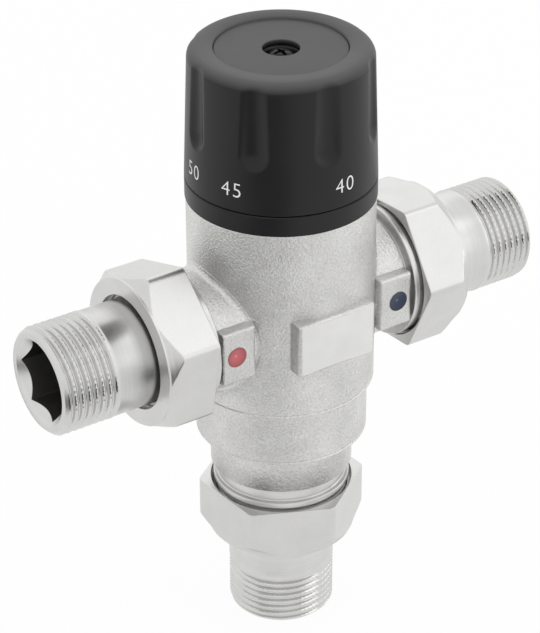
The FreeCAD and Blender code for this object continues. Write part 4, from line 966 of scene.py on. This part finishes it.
class MIXING_VALVE_OT_unions(bpy.types.Operator):
    """Build the three union nuts and the three threaded tailpieces"""

    bl_idname = "mixing_valve.unions"
    bl_label = "Unions"

    def execute(self, context):
        sizes, colours = context.scene.valve_union_sizes, context.scene.valve_colours
        turns = {"hot": sizes.hot_turn, "cold": sizes.cold_turn, "outlet": sizes.outlet_turn}
        milled = milled_nickel(colours)
        # Dull brass darkened with painted shade inside the tailpieces.
        bore = mottled("dull_and_shaded_bore", colours.bore, 0.38, 900.0, 1.0)
        for name, place in PORTS.items():
            finish = turned_nickel(colours, place, f"turned_nickel_{name}")
            cut = turned_nickel(colours, place, f"cut_thread_{name}", 0.08, 0.95)
            nut = Shell("nut")
            nut.add(place.of(spun(nut_grid(sizes, nut.angles), turns[name])))
            nut.build(f"{name}_nut", f"{name}_nut", [milled], [f"{name}_union_nut"])
            tail = Shell("tail")
            grid, rows = tail_grid(sizes, tail.angles)
            tail.add(place.of(spun(grid, sizes.socket_turn)), finish=rows)
            tail.build(f"{name}_tail", f"{name}_tail", [finish, bore, cut], [f"{name}_tailpiece"])
        return {"FINISHED"}


# --- the knob ---------------------------------------------------------------------------------

# The flutes' depth is measured where the skirt has this share of its taper.
FLUTE_TAPER = 0.6
# Rows up the skirt: close ones from FLUTE_BELOW under a flute's foot to FLUTE_ABOVE over it, and
# wide ones from SKIRT_FROM over it to SKIRT_TO under the knob's top.
FLUTE_BELOW, FLUTE_ABOVE, CLOSE_ROWS = 5.5 * MM, 0.4 * MM, 0.3 * MM
SKIRT_FROM, SKIRT_TO, WIDE_ROWS = 2.0 * MM, 4.0 * MM, 2.0 * MM
TOP_ARC_ROWS = 18
# The flat under the knob's edge; beside the disc, the rim's edge and the recess's wall, and how
# far down that wall begins.
FOOT_LEDGE, RIM_GAP, RECESS_GAP, RECESS_DROP = 1.0 * MM, 0.3 * MM, 0.12 * MM, 0.18 * MM
# The web under the screw's head, and the hub's splined hole.
WEB_DROP, WEB_THICK, WEB_BORE = 2.35 * MM, 2.1 * MM, 2.1 * MM
HUB_FOOT, SPLINE_BORE = 49.6 * MM, 4.55 * MM
# The screw's head, the cross in it, and its shank.
HEAD_HEIGHT, HEAD_EDGE, HEAD_ROWS = 2.3 * MM, 1.1 * MM, 36
DOME_HEIGHT, DOME_SHARE, DOME_POWER = 0.9 * MM, 0.93, 2.4
CROSS_HALF, CROSS_REACH, CROSS_DEPTH, CROSS_SLOPE = 0.48 * MM, 2.0 * MM, 1.5 * MM, 0.22 * MM
SHANK_RADIUS, TIP_RADIUS, TIP_LENGTH = 2.0 * MM, 1.5 * MM, 0.5 * MM
# The printed numbers and where their middles stand, in degrees from the cold side.
NUMBERS = (("50", 172.8), ("45", -154.1), ("40", -83.7))
# Letter spacing, a numeral's height as a share of the type size, and how its strokes are thinned.
NUMBER_SPACING, NUMERAL_SHARE, STROKE_OFFSET = 1.16, 0.72, -0.06 * MM
# Half the widest line and the width of a strip, in millimetres, and the ink's face and back.
HALF_LINE, STRIP, INK_FACE, INK_BACK = 4.0, 0.5, 0.035 * MM, -0.1 * MM


def skirt_radius(sizes, height):
    """Radius of the knob's tapered skirt."""
    share = (height - KNOB_FOOT) / (KNOB_TOP - KNOB_FOOT)
    return KNOB_RADIUS - sizes.taper * share


def flute_radius(sizes, heights, angles):
    """Radius at which each ray meets the nearest flute's ball-nosed cutter, or a large one.

    The ray from the axis meets a circle of the cutter's radius, less by Pythagoras below the
    ball's centre, at centre times cosine less the root of radius squared less (centre times sine)
    squared.
    """
    step = TURN / sizes.flutes
    off = (angles - sizes.flute_turn + step / 2.0) % step - step / 2.0
    centre = KNOB_RADIUS - sizes.taper * FLUTE_TAPER + sizes.flute_radius - sizes.flute_depth
    below = np.maximum(sizes.flute_foot - heights, 0.0)
    inside = sizes.flute_radius ** 2 - below ** 2 - (centre * np.sin(off)) ** 2
    return np.where(inside > 0.0, centre * np.cos(off) - np.sqrt(np.maximum(inside, 0.0)),
                    2.0 * KNOB_RADIUS)


class MIXING_VALVE_OT_knob(bpy.types.Operator):
    """Build the fluted knob, its numbers, its cap disc and its screw"""

    bl_idname = "mixing_valve.knob"
    bl_label = "Knob"

    def execute(self, context):
        sizes, colours = context.scene.valve_knob_sizes, context.scene.valve_colours
        black = moulded_black(colours)
        shell = Shell("knob")
        shell.add(BARREL.of(turned(self.knob_path(sizes, shell), shell.angles)))
        shell.build("fluted_knob", "knob_and_spindle", [black], ["knob"])
        disc = Shell("disc")
        path = soft_path([
            (sizes.well, DISC_LOW), (DISC_RADIUS, DISC_LOW), (DISC_RADIUS, DISC_HIGH, 0.22 * MM),
            (sizes.well, DISC_HIGH, 0.2 * MM)], disc.columns, closed=True)
        disc.add(BARREL.of(turned(path, disc.angles)))
        disc.build("cap_disc", "knob_and_spindle", [black], ["knob_cap_disc"])
        self.screw(mottled("black_zinc", colours.screw, 0.30, 1200.0, 1.0))
        ink = mottled("printed_ink", colours.ink, 0.45, 2500.0)
        for text, degrees in NUMBERS:
            self.number(sizes, text, math.radians(degrees), ink)
        return {"FINISHED"}

    def knob_path(self, sizes, shell):
        """The knob's closed section, with the flutes taken out of its outside."""
        rim = skirt_radius(sizes, KNOB_TOP)
        skirt = [(skirt_radius(sizes, height), height) for height in (
            *np.arange(sizes.flute_foot - FLUTE_BELOW, sizes.flute_foot + FLUTE_ABOVE, CLOSE_ROWS),
            *np.arange(sizes.flute_foot + SKIRT_FROM, KNOB_TOP - SKIRT_TO, WIDE_ROWS))]
        outside = soft_path([
            (KNOB_RADIUS - FOOT_LEDGE, KNOB_FOOT), (KNOB_RADIUS, KNOB_FOOT, 0.3 * MM), *skirt,
            (rim, KNOB_TOP, sizes.top_round), (DISC_RADIUS + RIM_GAP, KNOB_TOP)],
            shell.columns, steps=TOP_ARC_ROWS)
        cut = flute_radius(sizes, outside[..., 1], shell.angles[None, :])
        outside[..., 0] = smooth_min(outside[..., 0], cut, sizes.flute_soft)
        ceiling = KNOB_TOP - sizes.roof
        web_top = SCREW_TOP - WEB_DROP
        web_foot = web_top - WEB_THICK
        disc_seat = DISC_LOW - SEAT_GAP
        recess = DISC_RADIUS + RECESS_GAP
        inside = soft_path([
            (recess, KNOB_TOP - RECESS_DROP), (recess, disc_seat), (sizes.well, disc_seat),
            (sizes.well, web_top, 0.1 * MM), (WEB_BORE, web_top), (WEB_BORE, web_foot),
            (SPLINE_BORE, web_foot), (SPLINE_BORE, HUB_FOOT, 0.1 * MM),
            (sizes.hub, HUB_FOOT, 0.2 * MM), (sizes.hub, ceiling, 0.4 * MM),
            (rim - sizes.wall, ceiling, 0.4 * MM), (KNOB_RADIUS - sizes.wall, KNOB_FOOT)],
            shell.columns)
        return np.concatenate([outside, inside])

    def screw(self, finish):
        """A pan-head screw: a dome less a cross whose arms have sloping walls, then its shank."""
        shell = Shell("screw")
        angles = shell.angles
        head_foot = SCREW_TOP - HEAD_HEIGHT
        radii = np.linspace(0.0, SCREW_HEAD_RADIUS * DOME_SHARE, HEAD_ROWS)[:, None]
        across, front = np.abs(radii * np.cos(angles)), np.abs(radii * np.sin(angles))
        inside_arm = CROSS_HALF - np.minimum(across, front)
        before_end = CROSS_REACH - np.maximum(across, front)
        wall = smooth_step(np.minimum(inside_arm, before_end) / CROSS_SLOPE)
        dome = SCREW_TOP - DOME_HEIGHT * (radii / SCREW_HEAD_RADIUS) ** DOME_POWER
        top = np.stack([np.broadcast_to(radii, across.shape), dome - CROSS_DEPTH * wall], axis=-1)
        flank = soft_path([
            (SCREW_HEAD_RADIUS, SCREW_TOP - HEAD_EDGE), (SCREW_HEAD_RADIUS, head_foot, 0.1 * MM),
            (SHANK_RADIUS, head_foot), (SHANK_RADIUS, SCREW_FOOT + TIP_LENGTH),
            (TIP_RADIUS, SCREW_FOOT), (0.0, SCREW_FOOT)], shell.columns)
        shell.add(BARREL.of(turned(np.concatenate([top, flank]), angles)), wrap_rows=False)
        shell.build("cross_screw", "knob_and_spindle", [finish], ["knob_screw"])

    def number(self, sizes, text, middle, ink):
        """A printed number: flat letters cut into strips and wrapped round the tapered skirt."""
        curve = bpy.data.curves.new(f"number_{text}", "FONT")
        curve.body = text
        curve.align_x = "CENTER"
        curve.space_character = NUMBER_SPACING
        curve.size = sizes.digit_height / NUMERAL_SHARE
        curve.extrude = 0.5  # only which side of the middle a point is on is used
        curve.offset = STROKE_OFFSET
        source = linked(f"number_{text}_outline", curve)
        bpy.context.view_layer.update()
        mesh = bpy.data.meshes.new_from_object(source)
        bpy.data.objects.remove(source)
        work = bmesh.new()
        work.from_mesh(mesh)
        for cut in np.arange(-HALF_LINE, HALF_LINE, STRIP) * MM:
            parts = [*work.verts, *work.edges, *work.faces]
            bmesh.ops.bisect_plane(work, geom=parts, plane_co=(cut, 0.0, 0.0),
                                   plane_no=(1.0, 0.0, 0.0))
        work.to_mesh(mesh)
        work.free()
        flat = np.empty(len(mesh.vertices) * 3)
        mesh.vertices.foreach_get("co", flat)
        flat = flat.reshape(-1, 3)
        height = sizes.digit_foot + flat[:, 1]
        radius = skirt_radius(sizes, height) + np.where(flat[:, 2] > 0.0, INK_FACE, INK_BACK)
        turn = middle + flat[:, 0] / skirt_radius(sizes, sizes.digit_foot)
        wrapped = np.stack([radius * np.cos(turn), radius * np.sin(turn), height], axis=-1)
        mesh.vertices.foreach_set("co", BARREL.of(wrapped).ravel())
        mesh.materials.append(ink)
        piece = finished_object(f"number_{text}", mesh, "knob_and_spindle")
        for polygon in piece.data.polygons:
            polygon.use_smooth = False


# --- what stays as the solids give it ---------------------------------------------------------

# Each slot's finish: its name, colour, roughness, grain and how metallic it is.
INNER_FINISHES = {
    "brass_inner": ("turned_brass", (0.72, 0.52, 0.24), 0.25, 900.0, 1.0),
    "black_rubber": ("seal_rubber", (0.02, 0.02, 0.02), 0.55, 1500.0),
    "fibre_gasket": ("gasket_fibre", (0.10, 0.17, 0.13), 0.75, 2500.0),
    "grey_plastic": ("cage_plastic", (0.50, 0.50, 0.48), 0.45, 900.0),
    "shuttle_plastic": ("shuttle_plastic", (0.80, 0.79, 0.73), 0.45, 900.0),
    "copper_capsule": ("drawn_copper", (0.70, 0.40, 0.26), 0.28, 900.0, 1.0),
    "steel": ("stainless_steel", (0.58, 0.58, 0.58), 0.28, 1500.0, 1.0),
}


class MIXING_VALVE_OT_inner_parts(bpy.types.Operator):
    """Give the pieces that keep their own solids a finish each, and put steel copies in place of
    the springs
    """

    bl_idname = "mixing_valve.inner_parts"
    bl_label = "Inner parts"

    def execute(self, context):
        finishes = {slot: mottled(*row) for slot, row in INNER_FINISHES.items()}
        finishes["black_plastic"] = moulded_black(context.scene.valve_colours)
        for part in frame["record"]["subparts"]:
            finish = finishes.get(part["material_slot"])
            if finish:
                for slot in frame["nodes"][part["node"]].material_slots:
                    slot.material = finish
        for joint in frame["record"]["behaviour"]["joints"]:
            for spring in joint.get("deforming_nodes", ()):
                self.coil(joint, spring, finishes["steel"])
        return {"FINISHED"}

    def coil(self, joint, spring, finish):
        """A steel copy of a spring, hung on its body in the spring's place.
        """
        node, letter = spring["node"], spring["mode"][-1]
        source, along = frame["nodes"][node], "xyz".index(letter)
        low, high = np.array(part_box(node))
        axis, anchor = np.eye(3)[along], (low + high) / 2.0
        anchor[along] = spring[f"fixed_end_{letter}_m"]
        travel = max(abs(end) for end in joint["range_m"])
        mesh = source.data.copy()
        mesh.transform(source.matrix_world)
        mesh.materials.clear()
        mesh.materials.append(finish)
        coil = finished_object(node.replace("spring", "coil"), mesh, body_of(source)[0], [node])
        float(1.0 - travel / (high - low)[along])
        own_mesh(coil)


# --- studio -----------------------------------------------------------------------------------

# Each soft light: its name, place, side, power in watts and the setting that scales it.
LIGHTS = (
    ("back_light", (0.40, 0.60, 0.52), 0.60, 0.25, "key"),
    ("front_light", (0.46, -0.66, 0.38), 0.50, 0.28, "fill"),
    ("right_light", (0.75, -0.25, 0.14), 0.30, 0.30, "fill"),
    ("top_light", (0.38, -0.32, 0.70), 0.35, 0.22, "key"),
)
FLOOR_CORNERS = ((-4.0, -4.0), (4.0, -4.0), (4.0, 4.0), (-4.0, 4.0))
# How much of its own white the floor shows to the camera; the rest keeps the shadow.
FLOOR_GLOW = 0.95
# The dark card's corners, across and towards the camera, its turn and its height off the floor.
CARD_CORNERS = ((-0.16, 0.12), (0.04, 0.19), (0.07, 0.55), (-0.25, 0.55))
CARD_TURN, CARD_LIFT = -0.5927, 1.0 * MM
# The camera's sensor in millimetres, its shift, and the nearest that it sees.
SENSOR_WIDTH, LENS_SHIFT, CLIP_START = 36.0, (-0.01754, -0.02559), 0.01


def flat_mesh(name, corners, height, finish):
    """A level four-sided mesh."""
    mesh = bpy.data.meshes.new(name)
    mesh.from_pydata([(x, y, height) for x, y in corners], [], [(0, 1, 2, 3)])
    mesh.materials.append(finish)
    return mesh


class MIXING_VALVE_OT_studio(bpy.types.Operator):
    """Set up the white surroundings, the floor, the lights and the camera"""

    bl_idname = "mixing_valve.studio"
    bl_label = "Studio"

    def execute(self, context):
        studio = context.scene.valve_studio
        context.scene.view_settings.view_transform = "Standard"
        target = Vector((0.0, 0.0, AXIS_HEIGHT))
        self.world(studio)
        self.floor()
        self.card()
        for name, place, breadth, power, setting in LIGHTS:
            self.light(name, place, breadth, power * getattr(studio, setting), target)
        self.camera(context, studio, target)
        return {"FINISHED"}

    def world(self, studio):
        """White as seen, dimmer as light on matt surfaces."""
        world = bpy.data.worlds.new("white_surroundings")
        bpy.context.scene.world = world
        world.use_nodes = True
        graph = Graph(world.node_tree)
        strength = graph.node("ShaderNodeMapRange", {}, {"Value": graph.camera_rays(),
                                                         "To Min": studio.ambient, "To Max": 1.0})
        graph.fill(graph.tree.nodes["Background"], {"Color": grey(1.0), "Strength": strength})

    def floor(self):
        """A wide white floor that keeps a faint shadow."""
        finish = Finish("white_floor")
        finish.tree.nodes.remove(finish.shader)
        share = finish.camera_rays() * FLOOR_GLOW
        paper = finish.node("ShaderNodeBsdfDiffuse", {}, {"Color": grey(0.9)})
        glow = finish.node("ShaderNodeEmission", {}, {"Strength": 1.0})
        surface = finish.node("ShaderNodeMixShader", {}, {"Fac": share, 1: paper, 2: glow})
        finish.fill(finish.tree.nodes["Material Output"], {"Surface": surface})
        floor = linked("floor", flat_mesh("floor", FLOOR_CORNERS, FLOOR_HEIGHT, finish.material))

    def card(self):
        """A dark card flat on the floor before the valve, where only the metal mirrors it."""
        across, near = math.cos(CARD_TURN), math.sin(CARD_TURN)
        corners = [(x * across + y * near, x * near - y * across) for x, y in CARD_CORNERS]
        card = linked("dark_card", flat_mesh("dark_card", corners, FLOOR_HEIGHT + CARD_LIFT,
                                             mottled("black_card", (0.03, 0.03, 0.03), 0.8, 20.0)))
        card.visible_camera = card.visible_diffuse = card.visible_shadow = False

    def light(self, name, place, breadth, power, target):
        """A square soft light that faces the valve."""
        data = bpy.data.lights.new(name, "AREA")
        data.shape = "SQUARE"
        data.size = breadth
        data.energy = power
        self.aim(linked(name, data), place, target - Vector(place))

    def aim(self, made, place, towards):
        """Stand a light or the camera somewhere, facing a direction, upright."""
        made.location = place
        made.rotation_mode = "QUATERNION"
        made.rotation_quaternion = towards.to_track_quat("-Z", "Y")

    def camera(self, context, studio, target):
        """A long lens from the front left, a little above."""
        data = bpy.data.cameras.new("camera")
        camera = linked("camera", data)
        level = math.cos(studio.elevation)
        back = Vector((math.sin(studio.azimuth) * level, -math.cos(studio.azimuth) * level,
                       math.sin(studio.elevation)))
        self.aim(camera, target + back * studio.distance, -back)
        data.sensor_width = SENSOR_WIDTH
        data.lens = studio.lens
        data.shift_x, data.shift_y = LENS_SHIFT
        data.clip_start = CLIP_START
        context.scene.camera = camera


# --- add-on -----------------------------------------------------------------------------------


class MIXING_VALVE_PT_panel(bpy.types.Panel):
    """Steps of the build, in order"""

    bl_idname = "MIXING_VALVE_PT_panel"
    bl_label = "Mixing valve"
    bl_space_type = "VIEW_3D"
    bl_region_type = "UI"
    bl_category = "Mixing valve"

    def draw(self, context):
        for operator in OPERATORS:
            self.layout.operator(operator.bl_idname)


OPERATORS = (MIXING_VALVE_OT_body, MIXING_VALVE_OT_unions, MIXING_VALVE_OT_knob,
             MIXING_VALVE_OT_inner_parts, MIXING_VALVE_OT_studio)
GROUPS = {
    "valve_body_sizes": BodySizes,
    "valve_union_sizes": UnionSizes,
    "valve_knob_sizes": KnobSizes,
    "valve_colours": FinishColours,
    "valve_studio": StudioSettings,
}
CLASSES = (*GROUPS.values(), *OPERATORS, MIXING_VALVE_PT_panel)


def register():
    """Register the classes and hang the settings on the scene."""
    for item in CLASSES:
        bpy.utils.register_class(item)
    for name, group in GROUPS.items():
        setattr(bpy.types.Scene, name, PointerProperty(type=group))


def unregister():
    """Undo register."""
    for name in GROUPS:
        delattr(bpy.types.Scene, name)
    for item in reversed(CLASSES):
        bpy.utils.unregister_class(item)


def main():
    """Build everything."""
    register()
    bpy.ops.mixing_valve.body()
    bpy.ops.mixing_valve.unions()
    bpy.ops.mixing_valve.knob()
    bpy.ops.mixing_valve.inner_parts()
    bpy.ops.mixing_valve.studio()


if __name__ == "__main__":
    main()
